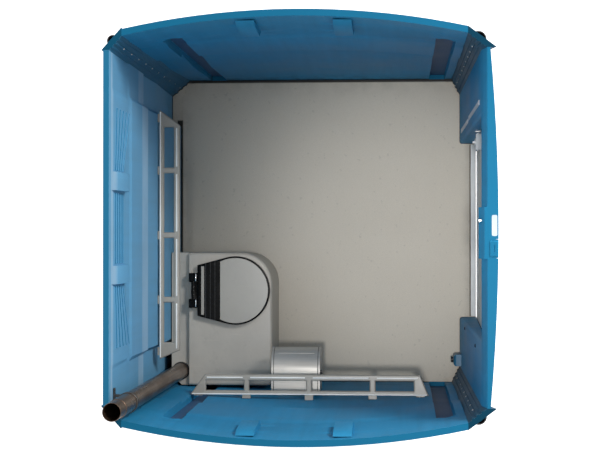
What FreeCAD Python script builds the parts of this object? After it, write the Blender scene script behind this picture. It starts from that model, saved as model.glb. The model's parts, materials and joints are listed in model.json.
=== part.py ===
"""Portable toilet cabin for wheelchair users, roof off: every piece is one STEP file in parts/.

Millimetres, +Z up, the door on the -Y side. Left and right are as seen from the door.
"""
import FreeCAD, Part
import math
import os

V = FreeCAD.Vector

# Cabin shell
WALL_HEIGHT = 2100.0          # floor surface to the top of the rim
FLOOR_HEIGHT = 35.0           # ground to the floor surface
FOOT_FLANGE_DROP = 5.0        # the walls stand this far below the floor surface
HALF_WIDTH_FOOT = 822.0       # side wall, inner face at the foot
CORNER_LEAN = 28.0            # how far each side wall leans in at the corners by the top
SIDE_SWELL = 50.0             # how far it swells out at mid length by the top
FLATTEST = 0.5                # least rise of an arched cut, at the foot
REAR_FIELD = 787.0            # rear wall, inner face of the middle field
REAR_CORNER_FOOT = 835.0      # rear wall, inner face beside the corners at the foot
REAR_CORNER_TOP = 788.0       # the same at the top
FRONT_FOOT = 734.0            # front panels, inner face at the foot
FRONT_HEAD = 749.0            # front panels, inner face at the door head
FRONT_INNER_TOP = 768.0       # front header, inner face at the rim
DOOR_PLANE_FOOT = 822.0       # front panels, outer face at the foot
DOOR_PLANE_TOP = 771.0        # front panels, outer face at the door head
FRONT_RIM_CORNER = 781.0      # front rim, outer edge at the corners
FRONT_RIM_MID = 813.5         # front rim, outer edge at the middle
POST_START = 735.0            # where wall panels stop and the corner posts begin
SIDE_FRONT_END = 690.0        # front end of the side walls
SKIN = 5.0                    # moulded skin of the wall panels
JAMB_ROUND = 14.0             # upright inner edge of the jambs beside the doorway
RIM_WIDTH = 28.0              # side walls, rim from the inner skin to the outer edge
REAR_RIM_WIDTH = 25.0
RIM_HEIGHT = 40.0
STEP_SLOPE = 10.0             # half width of the sloping step beside the rear corners
REAR_STEP = 580.0             # where the rear wall steps back beside the corners

# Relief of the walls
BAND_HEIGHTS = (0.0, 370.0, 720.0, 1160.0, 1180.0, 1600.0)
BAND_RELIEF = (0.0, 4.0, 9.0, -5.0, 10.0, 8.0)
RIB_COUNT = 5
RIB_START = 1640.0
RIB_PITCH = 58.0
RIB_RELIEF = 6.0
BUMP_WIDTH = 78.0
BUMP_LOW = 1720.0
BUMP_HEIGHT = 330.0
BUMP_DEPTH = 30.0
SIDE_BUMPS = (-175.0, 230.0)
REAR_BUMP_OFFSET = 197.0
LOUVRE_HEIGHT = 9.0
LOUVRE_DEPTH = 5.0
LOUVRE_COUNT = 5
LOUVRE_START = 1790.0
LOUVRE_PITCH = 42.0
FAN_END = 510.0
FAN_SPREAD = 1.75
CHANNEL_WIDTH = 85.0
CHANNEL_DEPTH = 24.0
CHANNEL_TOP = 1790.0
CHANNEL_REAR = 575.0
CHANNEL_FRONT = -610.0

# Floor
FLOOR_SKIN = 8.0
FLOOR_CORNER_RADIUS = 120.0
FLOOR_EDGE = 30.0
FLOOR_RIB = 12.0
FLOOR_CELLS = 6
FOOT_FLANGE = 12.0
FLOOR_LIP_GAP = 3.0
STRIP_WIDTH = 34.0
STRIP_THICKNESS = 3.0

# Doorway, header and door
DOORWAY_HALF = 470.0
DOORWAY_HEIGHT = 2000.0
LAP_LEFT = -67.0              # the right header half ends here
LAP_RIGHT = 85.0              # the tongue of the left half ends here
LAP_THICKNESS = 12.0
HEADER_BOLT_R = 5.0
HEADER_BOLT_X = 30.0
CAP_LENGTH = 62.0
CAP_WIDTH = 32.0
CAP_HEIGHT = 9.0
CAP_X = -85.0
CAP_INSET = 2.0               # behind the rim's outer edge
CAP_SLOT = (32.0, 6.0)
HEADER_NOTCHES = ((-47.0, 6.0), (-124.0, 7.0))
NOTCH_DEPTH = 13.0
PANE_X = (-34.0, 52.0)
PANE_INSET = 5.0
PANE_WIDTH = 23.0
PANE_SINK = 3.0
PANE_ROUND = 6.0
DOOR_GAP = 4.0
DOOR_THICKNESS = 28.0
DOOR_OVERLAP = 15.0
DOOR_BOTTOM = 15.0
DOOR_TOP = 1996.0
DOOR_PANEL_RELIEF = 5.0
DOOR_CORNER = 22.0
FIELD_MARGIN = 85.0           # leaf's edge to the sunk fields
FIELD_HEIGHTS = ((120.0, 780.0), (1150.0, 1400.0), (1480.0, 1880.0))
FIELD_ROUND = 40.0
SEAL_THICKNESS = 3.4
SEAL_WIDTH = 12.0
SEAL_SHORT = 10.0             # seals end this far inside the leaf's ends
HINGE_HEIGHTS = (250.0, 940.0, 1630.0)
HINGE_OFFSET = 12.0           # pin axis beyond the edge of the leaf
HINGE_STRAP = 4.0
KNUCKLE_R = 7.0
PIN_R = 3.5
RUNNING_GAP = 0.06
KNUCKLE_HALF = 30.0
KNUCKLE_SPLIT = 12.0
KNUCKLE_GAP = 0.6
HINGE_LEAF_LENGTH = 62.0
LATCH_HEIGHT = 985.0
LATCH_X = 415.0
CASE_LENGTH = 80.0
CASE_HEIGHT = 96.0
CASE_DEPTH = 26.0
CASE_WALL = 3.0
BOLT_WIDTH = 12.0
BOLT_THROW = 25.0
BOLT_TIP_GAP = 8.0            # bolt tip to the jamb when drawn back
BOLT_LENGTH = 84.0
BOLT_FROM_LEAF = 14.0         # middle of the bolt to the leaf's inner face
BOLT_SLACK = 0.5
KEEPER = (26.0, 60.0)
KEEPER_THICKNESS = 3.0
KEEPER_SLACK = 1.5
LATCH_SHAFT_R = 5.0
KNOB_R = 19.0
KNOB_DEPTH = 16.0
INDICATOR_R = 24.0
INDICATOR_DEPTH = 6.0
PULL_LENGTH = 170.0
PULL_REACH = 42.0
PULL_BAR = 14.0
PULL_ROUND = 25.0
PULL_DROP = 190.0             # latch bolt down to the middle of the handle
PULL_FOOT = 32.0
PULL_FOOT_HEIGHT = 4.0

# Corner posts
POST_DEPTH = 24.0
POST_RUN_OUT = 0.3             # share that the slab runs past its face, to the walls' ends
POST_RIB = 4.0
POST_RIB_COUNT = 3
RIB_SHARE = 0.1               # width of a rib as a share of the post's face
STRIP_BULGE = 14.0
STRIP_WALL = 4.0
RIVET_PITCH = 200.0
RIVET_R = 5.0
RIVET_HEAD = 3.0
RIVET_SEAT = 0.1              # rivet head off the leaning rib face

# Waste tank and seat
TANK_RIGHT = -118.0
TANK_LEFT = -806.0
TANK_FRONT = 250.0
TANK_REAR_GAP = 1.0           # tank to the rear wall's deepest relief beside it
TANK_HEIGHT = 450.0
TANK_WALL = 8.0
TANK_CORNER_R = 165.0
TANK_SMALL_R = 25.0
TANK_CUT = 52.0               # cut across the corner beside the corner post
TANK_EDGE_R = 14.0
LEDGE_START = 681.0
LEDGE_DROP = 30.0
SEAT_X = -313.0
SEAT_Y = 436.0
SEAT_R = 177.0
SEAT_NECK_HALF = 131.0
SEAT_NECK_Y = 634.0
RING_THICKNESS = 18.0
SEAT_HOLE_R = 112.0
SEAT_HOLE_STRETCH = 40.0
LID_GAP = 5.0
LID_THICKNESS = 20.0
LID_WALL = 4.0
LID_ROUND = 7.0
LID_GROOVE = 2.0
PANEL_MARGIN = 9.0
PANEL_REAR_Y = 515.0
PANEL_THICKNESS = 3.0
LID_STEPS = (542.0, 566.0)
BAR_Y = 606.0
BAR_WIDTH = 15.0
BAR_THICKNESS = 3.0
LID_HINGE_Y = 657.0
LID_HINGE_R = 11.0
LID_PIN_R = 4.0
BLOCK_OFFSET = 67.0
BLOCK_WIDTH = 46.0
BLOCK_DEPTH = 44.0
BUMPER_R = 8.0

# Vent pipe
PIPE_X = -733.0
PIPE_Y = 728.0
PIPE_R = 40.0
PIPE_WALL = 4.0
PIPE_TOP = 2350.0
SPIGOT_R = 38.0               # the pipe's top is drawn in to take a cap
SPIGOT_LENGTH = 120.0
GASKET_R = 46.0
GASKET_HEIGHT = 22.0
PIPE_SINK = 60.0
CLIP_HEIGHT = 1965.0
CLIP_WIDTH = 26.0
CLIP_THICKNESS = 4.0
CLIP_FOOT = 7.0

# Grab rails
RAIL_HEIGHT = 850.0
RAIL_THICKNESS = 28.0
RAIL_DEPTH = 100.0
RAIL_WALL_BAR = 21.0
RAIL_INNER_BAR = 30.0
RAIL_ROUND = 7.0
RAIL_BOLT_R = 6.0
RAIL_PAD = 40.0
PAD_GAP = 0.3                 # a fitting's foot to the wall skin
REAR_RAIL = (-640.0, 591.0)
REAR_RAIL_INNER = (-595.0, 515.0)
REAR_RAIL_GAPS = ((-556.0, -360.0), (-332.0, -42.0), (-14.0, 278.0), (306.0, 505.0))
REAR_RAIL_BACK = 772.0
SIDE_RAIL = (-552.0, 620.0)
SIDE_RAIL_INNER = (-510.0, 546.0)
SIDE_RAIL_GAPS = ((-479.0, -293.0), (-263.0, 20.0), (48.0, 328.0), (355.0, 542.0))
SIDE_RAIL_BACK = 812.0

# Paper holder
HOLDER_Y = (-13.0, 230.0)
HOLDER_FRONT = -593.0
HOLDER_BACK = -812.0
HOLDER_LOW = 505.0
HOLDER_RADIUS = 112.0
COVER_WALL = 3.0
COVER_RIM = 1.6                # raised band at each end of the cover
COVER_RIM_WIDTH = 9.0
COVER_LIP_R = 2.2
COVER_LIP_ANGLE = 50.0         # lip, from the cover's top round to its front
COVER_LIP_INSET = 32.0
PLATE_THICKNESS = 8.0
ARM_THICKNESS = 6.0
ARM_CLEARANCE = 2.5
ARM_NOSE_R = 26.0
ARM_ROOT = 60.0               # half height of an arm at the plate
STUB_R = 8.0
SPINDLE_R = 19.9
ROLL_CORE_R = 20.0
ROLL_CORE_WALL = 1.5
ROLL_R = 56.0
ROLL_GAP = 2.0
ROLL_X = -706.0
ROLL_Z = 622.0
HOLDER_PIN_R = 3.0
HOLDER_PIN_OUT = 12.0         # pin axis in front of the back plate
HOLDER_PIN_UP = 8.0           # pin axis above the cover's underside
HOLDER_HEEL = 9.0             # the cover's underside starts this far in front of the pin
SLOT_X = (-745.0, -665.0)     # paper slot in the cover's underside
LUG_WIDTH = 16.0
LUG_R = 7.0
LOCK_X = -713.0
LOCK_Z = 690.0
LOCK_R = 9.0
TONGUE_LENGTH = 34.0
TONGUE_WIDTH = 8.0
TONGUE_REACH = 5.6            # how far the tongue stands into the cover
CATCH_GAP = 1.3
CATCH_WIDTH = 7.0
CATCH_GRIP = 8.0              # catch above the tongue's tip when locked

# Jamb fittings
FOOT_X = -690.0
FOOT_WIDTH = 62.0
FOOT_DEPTH = 40.0
FOOT_RISE = 150.0
FOOT_LIFT = 60.0
PLUG_R = 15.0
PLUG_DEPTH = 12.0
JAMB_STRIP_WIDTH = 22.0
JAMB_STRIP_THICKNESS = 2.5
JAMB_STRIPS = ((512.0, 220.0, 930.0), (520.0, 985.0, 1850.0))
FIXING_SPOTS = ((-496.0, 640.0), (-518.0, 1580.0))
FIXING_R = 9.0
FIXING_HEAD = 4.0

FLOOR = FLOOR_HEIGHT
FOOT = FLOOR - FOOT_FLANGE_DROP
TOP = FLOOR + WALL_HEIGHT
RIM_FOOT = TOP - RIM_HEIGHT
HEAD = FLOOR + DOORWAY_HEIGHT
DOOR_LEAN = math.atan2(DOOR_PLANE_FOOT - DOOR_PLANE_TOP, HEAD - FOOT)
DECK = FLOOR + TANK_HEIGHT
TANK_REAR = REAR_FIELD - max(BAND_RELIEF[:3]) - TANK_REAR_GAP
# The cabin is shifted so that the origin is under the middle of everything, pull handle included.
PULL_LOW_BEND = LATCH_HEIGHT - PULL_DROP - PULL_LENGTH / 2.0 + PULL_ROUND
FRONT_REACH = (
    DOOR_PLANE_FOOT - math.sin(DOOR_LEAN) * PULL_LOW_BEND
    + math.cos(DOOR_LEAN) * (DOOR_GAP + DOOR_THICKNESS + PULL_REACH)
)
REAR_REACH = REAR_CORNER_FOOT + SKIN + FOOT_FLANGE
SHIFT_Y = (FRONT_REACH - REAR_REACH) / 2.0
SAVED = []


def save(name, shape):
    """Write one piece, moved into the frame of the whole."""
    shape = shape.copy()
    shape.translate(V(0, SHIFT_Y, 0))
    if not shape.isValid():
        print("not valid:", name)
    SAVED.append(name)
    shape.exportStep("parts/" + name + ".step")


def box(x0, x1, y0, y1, z0, z1):
    low = V(min(x0, x1), min(y0, y1), min(z0, z1))
    return Part.makeBox(abs(x1 - x0), abs(y1 - y0), abs(z1 - z0), low)


def rod(radius, start, end):
    along = end - start
    return Part.makeCylinder(radius, along.Length, start, along)


def tube(outer, inner, start, end):
    return rod(outer, start, end).cut(rod(inner, start, end))


def polygon(points):
    return Part.makePolygon([V(*p) for p in points] + [V(*points[0])])


def prism(points, along):
    return Part.Face(polygon(points)).extrude(V(*along))


def loft(wires):
    return Part.makeLoft(wires, True, True)


def arc(start, middle, end):
    return Part.Arc(V(*start), V(*middle), V(*end)).toShape()


def line(start, end):
    return Part.makeLine(V(*start), V(*end))


def fused(shapes):
    return shapes[0].multiFuse(shapes[1:]).removeSplitter()


def mirrored_x(shape):
    return shape.mirror(V(0, 0, 0), V(1, 0, 0))


def share(z):
    """Height above the wall's foot as a share of the wall."""
    return (z - FOOT) / (TOP - FOOT)


def mixed(low, high, z):
    return low + (high - low) * share(z)


def side_corner_x(z):
    return mixed(HALF_WIDTH_FOOT, HALF_WIDTH_FOOT - CORNER_LEAN, z)


def side_middle_x(z):
    return mixed(HALF_WIDTH_FOOT, HALF_WIDTH_FOOT + SIDE_SWELL, z)


def side_skin_x(y, z):
    """Inner face of a side wall, on the arc through its ends and its middle."""
    half = (POST_START + SIDE_FRONT_END) / 2.0
    rise = max(side_middle_x(z) - side_corner_x(z), FLATTEST)
    radius = (half * half + rise * rise) / (2.0 * rise)
    off = y - (POST_START - SIDE_FRONT_END) / 2.0
    return side_corner_x(z) + rise - radius + math.sqrt(radius * radius - off * off)


def rear_corner_y(z):
    return mixed(REAR_CORNER_FOOT, REAR_CORNER_TOP, z)


def front_inner_y(z):
    """Inner face of the front: nearly upright to the door head, then sloping out to the rim."""
    if z <= HEAD:
        return -(FRONT_FOOT + (FRONT_HEAD - FRONT_FOOT) * (z - FOOT) / (HEAD - FOOT))
    return -(FRONT_HEAD + (FRONT_INNER_TOP - FRONT_HEAD) * (z - HEAD) / (TOP - HEAD))


def front_outer_y(z):
    return -(DOOR_PLANE_FOOT - math.tan(DOOR_LEAN) * (z - FOOT))


def side_strip(z, relief, depth):
    """The side wall's cut at one height: an arched strip, depth wide, seen from above."""
    near = side_corner_x(z) - relief
    mid = max(side_middle_x(z), side_corner_x(z) + FLATTEST) - relief
    centre = (POST_START - SIDE_FRONT_END) / 2.0
    front, rear = -SIDE_FRONT_END, POST_START
    far = near + depth
    inner = arc((near, front, z), (mid, centre, z), (near, rear, z))
    outer = arc((far, rear, z), (mid + depth, centre, z), (far, front, z))
    rear_end = line((near, rear, z), (far, rear, z))
    front_end = line((far, front, z), (near, front, z))
    return Part.Wire([inner, rear_end, outer, front_end])


def wall_levels():
    """Heights and relief of the wall skin from its foot to the underside of the rim."""
    levels = [(FOOT, BAND_RELIEF[0])]
    levels += [(FLOOR + h, r) for h, r in zip(BAND_HEIGHTS[1:], BAND_RELIEF[1:])]
    for i in range(RIB_COUNT):
        base = FLOOR + RIB_START + i * RIB_PITCH
        levels += [(base, 0.0), (base + RIB_PITCH * 0.35, RIB_RELIEF)]
    levels += [(FLOOR + RIB_START + RIB_COUNT * RIB_PITCH, 0.0), (RIM_FOOT + 5.0, 0.0)]
    return levels


def channel(y, reach, margin):
    """The upright groove beside a corner, grown by margin; its top is half round and its foot closed."""
    half = CHANNEL_WIDTH / 2.0 + margin
    low, high = FOOT + SKIN - margin * 1.2, FLOOR + CHANNEL_TOP - CHANNEL_WIDTH / 2.0
    deep = [side_skin_x(y, z) + reach + margin for z in (low, high)]
    near = HALF_WIDTH_FOOT - 120.0
    ends = []
    for z, far in zip((low, high), deep):
        plan = [(near, y - half), (far, y - half), (far, y + half), (near, y + half)]
        ends.append(polygon([(px, py, z) for px, py in plan]))
    top = rod(half, V(near, y, high), V(deep[1], y, high))
    return fused([loft(ends), top])


def bump_on(x, y, z):
    """A wedge that stands out of a right-hand wall skin, steepest at its foot."""
    points = [
        (x + 2.0, y - BUMP_WIDTH / 2.0, z),
        (x - BUMP_DEPTH, y - BUMP_WIDTH / 2.0, z + 60.0),
        (x - BUMP_DEPTH * 0.6, y - BUMP_WIDTH / 2.0, z + BUMP_HEIGHT - 50.0),
        (x + 2.0, y - BUMP_WIDTH / 2.0, z + BUMP_HEIGHT),
    ]
    return prism(points, (0, BUMP_WIDTH, 0))


def side_wall():
    """The right-hand side wall."""
    levels = wall_levels()
    skin = loft([side_strip(z, r, SKIN) for z, r in levels])
    outside = loft([side_strip(z, r, 200.0) for z, r in levels])
    rim = Part.Face(side_strip(RIM_FOOT, 0.0, RIM_WIDTH)).extrude(V(0, 0, RIM_HEIGHT))
    foot = box(HALF_WIDTH_FOOT, HALF_WIDTH_FOOT + FOOT_FLANGE, -SIDE_FRONT_END, POST_START, FOOT, FOOT + SKIN)
    wall = fused([skin, rim, foot])
    for y in (CHANNEL_REAR, CHANNEL_FRONT):
        shell = channel(y, CHANNEL_DEPTH, SKIN).common(outside)
        shell = shell.common(box(0, 1200, -1000, 1000, FOOT, TOP))
        wall = wall.fuse(shell).cut(channel(y, CHANNEL_DEPTH, 0.0))
    for y in SIDE_BUMPS:
        low = FLOOR + BUMP_LOW
        high = low + BUMP_HEIGHT
        wall = wall.fuse(bump_on(min(side_skin_x(y, low), side_skin_x(y, high)), y, low))
    return wall.removeSplitter()


def rear_strip(z, relief):
    """The rear wall's cut at one height."""
    corner = rear_corner_y(z) - relief
    field = REAR_FIELD - relief
    inner = [
        (-POST_START, corner), (-REAR_STEP - STEP_SLOPE, corner), (-REAR_STEP + STEP_SLOPE, field),
        (REAR_STEP - STEP_SLOPE, field), (REAR_STEP + STEP_SLOPE, corner), (POST_START, corner),
    ]
    outer = [(x, y + SKIN) for x, y in reversed(inner)]
    return polygon([(x, y, z) for x, y in inner + outer])


def bar_on_rear(x0, z0, x1, z1):
    """A flat rib on the rear wall from one point to another."""
    half = LOUVRE_HEIGHT / 2.0
    back = REAR_FIELD + 2.0
    points = [(x0, back, z0 - half), (x0, back, z0 + half), (x1, back, z1 + half), (x1, back, z1 - half)]
    return prism(points, (0, -LOUVRE_DEPTH - 2.0, 0))


def rear_wall():
    levels = [(FOOT, BAND_RELIEF[0])]
    levels += [(FLOOR + h, r) for h, r in zip(BAND_HEIGHTS[1:], BAND_RELIEF[1:])]
    levels += [(FLOOR + RIB_START, 0.0), (RIM_FOOT + 5.0, 0.0)]
    pieces = [loft([rear_strip(z, r) for z, r in levels])]
    pieces.append(box(-POST_START, POST_START, REAR_FIELD, REAR_FIELD + REAR_RIM_WIDTH, RIM_FOOT, TOP))
    for side in (-1, 1):
        x = side * REAR_BUMP_OFFSET
        wedge = bump_on(REAR_FIELD, 0.0, FLOOR + BUMP_LOW)
        wedge.rotate(V(0, 0, 0), V(0, 0, 1), 90)
        wedge.translate(V(x, 0, 0))
        pieces.append(wedge)
        edge = side * (REAR_BUMP_OFFSET + BUMP_WIDTH / 2.0 + 8.0)
        for i in range(LOUVRE_COUNT):
            near = FLOOR + LOUVRE_START + i * LOUVRE_PITCH
            far = FLOOR + LOUVRE_START + LOUVRE_COUNT * LOUVRE_PITCH
            far -= (LOUVRE_COUNT - i) * LOUVRE_PITCH * FAN_SPREAD
            pieces.append(bar_on_rear(edge, near, side * FAN_END, far))
    span = REAR_BUMP_OFFSET - BUMP_WIDTH / 2.0 - 8.0
    for i in range(LOUVRE_COUNT):
        z = FLOOR + LOUVRE_START + i * LOUVRE_PITCH
        pieces.append(bar_on_rear(-span, z, span, z))
    return fused(pieces)


def front_column():
    """The right-hand jamb: a hollow box from the doorway to the corner post."""
    def ring(z, inset, cut):
        x0, x1 = DOORWAY_HALF + inset, POST_START - inset
        y0, y1 = front_outer_y(z) + inset, front_inner_y(z) - inset
        return polygon([(x0, y0, z + cut), (x1, y0, z + cut), (x1, y1, z + cut), (x0, y1, z + cut)])

    def rounded(shape, inset):
        """The shape with its upright inner edge beside the doorway rounded."""
        edges = [e.BoundBox for e in shape.Edges]
        upright = [b.ZLength > 1000.0 and b.XMax < DOORWAY_HALF + inset + 1.0 for b in edges]
        inner = [b.YMin > front_inner_y(FOOT) - 40.0 for b in edges]
        chosen = [e for e, u, i in zip(shape.Edges, upright, inner) if u and i]
        return shape.makeFillet(JAMB_ROUND - inset, chosen)

    body = rounded(loft([ring(FOOT, 0.0, 0.0), ring(HEAD, 0.0, 0.0)]), 0.0)
    hollow = rounded(loft([ring(FOOT, SKIN, -1.0), ring(HEAD, SKIN, -SKIN)]), SKIN)
    return body.cut(hollow)


def header(x0, x1):
    """The beam over the doorway between two places; its top spreads forward as a drip hood."""
    low_in, low_out = front_inner_y(HEAD), front_outer_y(HEAD)
    top_in = -FRONT_INNER_TOP
    mid = (x0 + x1) / 2.0
    low = Part.Wire([
        line((x0, low_in, HEAD), (x1, low_in, HEAD)), line((x1, low_in, HEAD), (x1, low_out, HEAD)),
        line((x1, low_out, HEAD), (x0, low_out, HEAD)), line((x0, low_out, HEAD), (x0, low_in, HEAD)),
    ])
    bow = arc((x1, header_front(x1), TOP), (mid, header_front(mid), TOP), (x0, header_front(x0), TOP))
    high = Part.Wire([
        line((x0, top_in, TOP), (x1, top_in, TOP)), line((x1, top_in, TOP), (x1, header_front(x1), TOP)),
        bow, line((x0, header_front(x0), TOP), (x0, top_in, TOP)),
    ])
    return loft([low, high])


def header_notches():
    """Two notches in the drip hood's outer edge, one each side of the cap."""
    cuts = []
    for x, half in HEADER_NOTCHES:
        low = HEAD - 1.0
        plan = [(x - half, -900.0, low), (x + half, -900.0, low), (x, header_front(x) + NOTCH_DEPTH, low)]
        cuts.append(prism(plan, (0, 0, TOP - HEAD + 2.0)))
    return fused(cuts)


def header_front(x):
    """The hood's outer edge at the rim."""
    return -(FRONT_RIM_MID - (FRONT_RIM_MID - FRONT_RIM_CORNER) * (x / POST_START) ** 2)


def header_pane(slack, low, high):
    """The pale pane let into the header's top, or its pocket."""
    near = header_front(PANE_X[1]) + PANE_INSET
    far = near + PANE_WIDTH
    pane = box(PANE_X[0] + slack, PANE_X[1] - slack, near + slack, far - slack, TOP - low, TOP + high)
    return pane.makeFillet(PANE_ROUND - slack, [e for e in pane.Edges if e.BoundBox.ZLength > 1.0])


def header_bolt_hole():
    z = (HEAD + TOP) / 2.0
    return rod(HEADER_BOLT_R, V(HEADER_BOLT_X, -900, z), V(HEADER_BOLT_X, -600, z))


def front_panels():
    column = front_column()
    hole = BOLT_WIDTH / 2 + 2 * KEEPER_SLACK
    keeper_hole = on_door(box(DOORWAY_HALF - 5.0, DOORWAY_HALF + BOLT_THROW, BOLT_Y - hole, BOLT_Y + hole,
                              LATCH_HEIGHT - hole, LATCH_HEIGHT + hole))
    right = fused([column, header(LAP_LEFT, POST_START)]).cut(keeper_hole).cut(header_bolt_hole())
    right = right.cut(header_notches()).cut(header_pane(0.0, PANE_SINK, 5.0))
    z_mid = (HEAD + TOP) / 2.0
    inner = [front_inner_y(HEAD), -FRONT_INNER_TOP]
    tongue = loft([
        polygon([(LAP_LEFT - 2.0, y, z), (LAP_RIGHT, y, z), (LAP_RIGHT, y + LAP_THICKNESS, z),
                 (LAP_LEFT - 2.0, y + LAP_THICKNESS, z)])
        for y, z in zip(inner, (HEAD, TOP))
    ])
    base = loft([
        polygon([(LAP_LEFT - 60.0, y - 2.0, z), (LAP_LEFT, y - 2.0, z), (LAP_LEFT, y + LAP_THICKNESS, z),
                 (LAP_LEFT - 60.0, y + LAP_THICKNESS, z)])
        for y, z in zip(inner, (HEAD, TOP))
    ])
    left = fused([mirrored_x(column), header(-POST_START, LAP_LEFT), base, tongue]).cut(header_bolt_hole())
    left = left.cut(header_notches())
    return left, right


def header_bolt():
    """Bolt, washer and nut that hold the two header halves together."""
    z = (HEAD + TOP) / 2.0
    ratio = (z - HEAD) / (TOP - HEAD)
    inner = front_inner_y(HEAD) * (1 - ratio) - FRONT_INNER_TOP * ratio + LAP_THICKNESS
    outer = front_outer_y(HEAD) * (1 - ratio) - FRONT_RIM_MID * ratio
    shank = rod(HEADER_BOLT_R, V(HEADER_BOLT_X, outer - 14.0, z), V(HEADER_BOLT_X, inner, z))
    slope = math.atan2(FRONT_INNER_TOP + front_inner_y(HEAD), TOP - HEAD)
    seat = 2.0 * HEADER_BOLT_R * math.tan(slope) + 1.5
    head = prism(hexagon(HEADER_BOLT_X, inner + seat, z, HEADER_BOLT_R * 1.8), (0, 7, 0))
    collar = rod(HEADER_BOLT_R, V(HEADER_BOLT_X, inner - 1.0, z), V(HEADER_BOLT_X, inner + seat, z))
    nut = prism(hexagon(HEADER_BOLT_X, outer - 14.0, z, HEADER_BOLT_R * 1.8), (0, -7, 0))
    return fused([shank, collar, head, nut])


def hexagon(x, y, z, radius):
    turns = [math.radians(60 * i) for i in range(6)]
    return [(x + radius * math.cos(t), y, z + radius * math.sin(t)) for t in turns]


def header_cap():
    near = header_front(CAP_X) + CAP_INSET
    top = TOP + CAP_HEIGHT
    block = box(CAP_X - CAP_LENGTH / 2, CAP_X + CAP_LENGTH / 2, near, near + CAP_WIDTH, TOP, top)
    block = block.makeFillet(3.0, [e for e in block.Edges if e.BoundBox.ZMin > top - 0.1])
    slot_y = near + (CAP_WIDTH - CAP_SLOT[1]) / 2
    slot_x = CAP_X - CAP_SLOT[0] / 2
    slot = box(slot_x, slot_x + CAP_SLOT[0], slot_y, slot_y + CAP_SLOT[1], TOP + 4.0, top + 1)
    return block.cut(slot)


def post_points(z, rear):
    """The two ends of a right-hand corner post's inner face at one height, and its outward normal."""
    x = side_corner_x(z)
    if rear:
        ends = [(x, POST_START), (POST_START, rear_corner_y(z))]
    else:
        ends = [(x, -SIDE_FRONT_END), (POST_START, front_inner_y(z))]
    (ax, ay), (bx, by) = ends
    length = math.hypot(bx - ax, by - ay)
    nx, ny = (by - ay) / length, -(bx - ax) / length
    if nx < 0:
        nx, ny = -nx, -ny
    return (ax, ay), (bx, by), (nx, ny)


def post_strip(z, rear, start, end, out, back):
    """A four-sided cut between two shares of the post's width, out to back along its normal."""
    (ax, ay), (bx, by), (nx, ny) = post_points(z, rear)
    p = [(ax + (bx - ax) * s, ay + (by - ay) * s) for s in (start, end)]
    near = [(x + nx * out, y + ny * out, z) for x, y in p]
    far = [(x + nx * back, y + ny * back, z) for x, y in reversed(p)]
    return polygon(near + far)


def corner_post(rear):
    """The ribbed post across a right-hand corner, from the foot flange to the rim."""
    run = POST_RUN_OUT
    pieces = [loft([post_strip(z, rear, -run, 1.0 + run, 0.5, POST_DEPTH) for z in (FOOT, HEAD, TOP)])]
    for i in range(POST_RIB_COUNT):
        middle = (i + 1.0) / (POST_RIB_COUNT + 1.0)
        start, end = middle - RIB_SHARE / 2, middle + RIB_SHARE / 2
        levels = (FOOT, HEAD, TOP)
        pieces.append(loft([post_strip(z, rear, start, end, 1.0 - POST_RIB, 1.0) for z in levels]))
    post = fused(pieces)
    if rear:
        keep = box(0, 1200, 0, 1200, FOOT, TOP)
        trim = box(POST_START, 1200, POST_START, 1200, FOOT, TOP)
    else:
        keep = box(0, 1200, -1200, 0, FOOT, TOP)
        trim = box(POST_START, 1200, -1200, -SIDE_FRONT_END, FOOT, TOP)
    return post.common(keep).common(trim)


def corner_cover(rear):
    """The black strip that bulges out of a corner, from the foot to the rim."""
    rings = []
    for z in (FOOT, HEAD, TOP):
        (ax, ay), (bx, by), (nx, ny) = post_points(z, rear)

        def at(s, out):
            return (ax + (bx - ax) * s + nx * out, ay + (by - ay) * s + ny * out, z)

        outer = arc(at(0.22, POST_DEPTH), at(0.5, POST_DEPTH + STRIP_BULGE), at(0.78, POST_DEPTH))
        hollow = POST_DEPTH + STRIP_BULGE - STRIP_WALL
        inner = arc(at(0.70, POST_DEPTH), at(0.5, hollow), at(0.30, POST_DEPTH))
        right = line(at(0.78, POST_DEPTH), at(0.70, POST_DEPTH))
        left = line(at(0.30, POST_DEPTH), at(0.22, POST_DEPTH))
        rings.append(Part.Wire([outer, right, inner, left]))
    return loft(rings)


def corner_rivets():
    """Rivet heads down the middle rib of each corner post."""
    heads = []
    count = int((WALL_HEIGHT - 200.0) // RIVET_PITCH) + 1
    for rear in (True, False):
        for i in range(count):
            z = FLOOR + 100.0 + i * RIVET_PITCH
            (ax, ay), (bx, by), (nx, ny) = post_points(z, rear)
            x, y = (ax + bx) / 2.0, (ay + by) / 2.0
            face = POST_RIB - 1.0 + RIVET_SEAT
            foot = V(x - nx * face, y - ny * face, z)
            tip = V(x - nx * (face + RIVET_HEAD), y - ny * (face + RIVET_HEAD), z)
            head = Part.makeCone(RIVET_R, RIVET_R * 0.5, (tip - foot).Length, foot, tip - foot)
            heads += [head, mirrored_x(head)]
    return Part.makeCompound(heads)


def floor_outline(grow, front):
    """The floor's plan: walls' inner feet grown outwards, with cut corners."""
    x = HALF_WIDTH_FOOT + grow
    rear = REAR_CORNER_FOOT + grow
    corner = POST_START + grow * 0.41
    front_corner = SIDE_FRONT_END + grow * 0.41
    return [(-x, -front_corner), (-corner, -front), (corner, -front), (x, -front_corner),
            (x, corner), (corner, rear), (-corner, rear), (-x, corner)]


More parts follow.
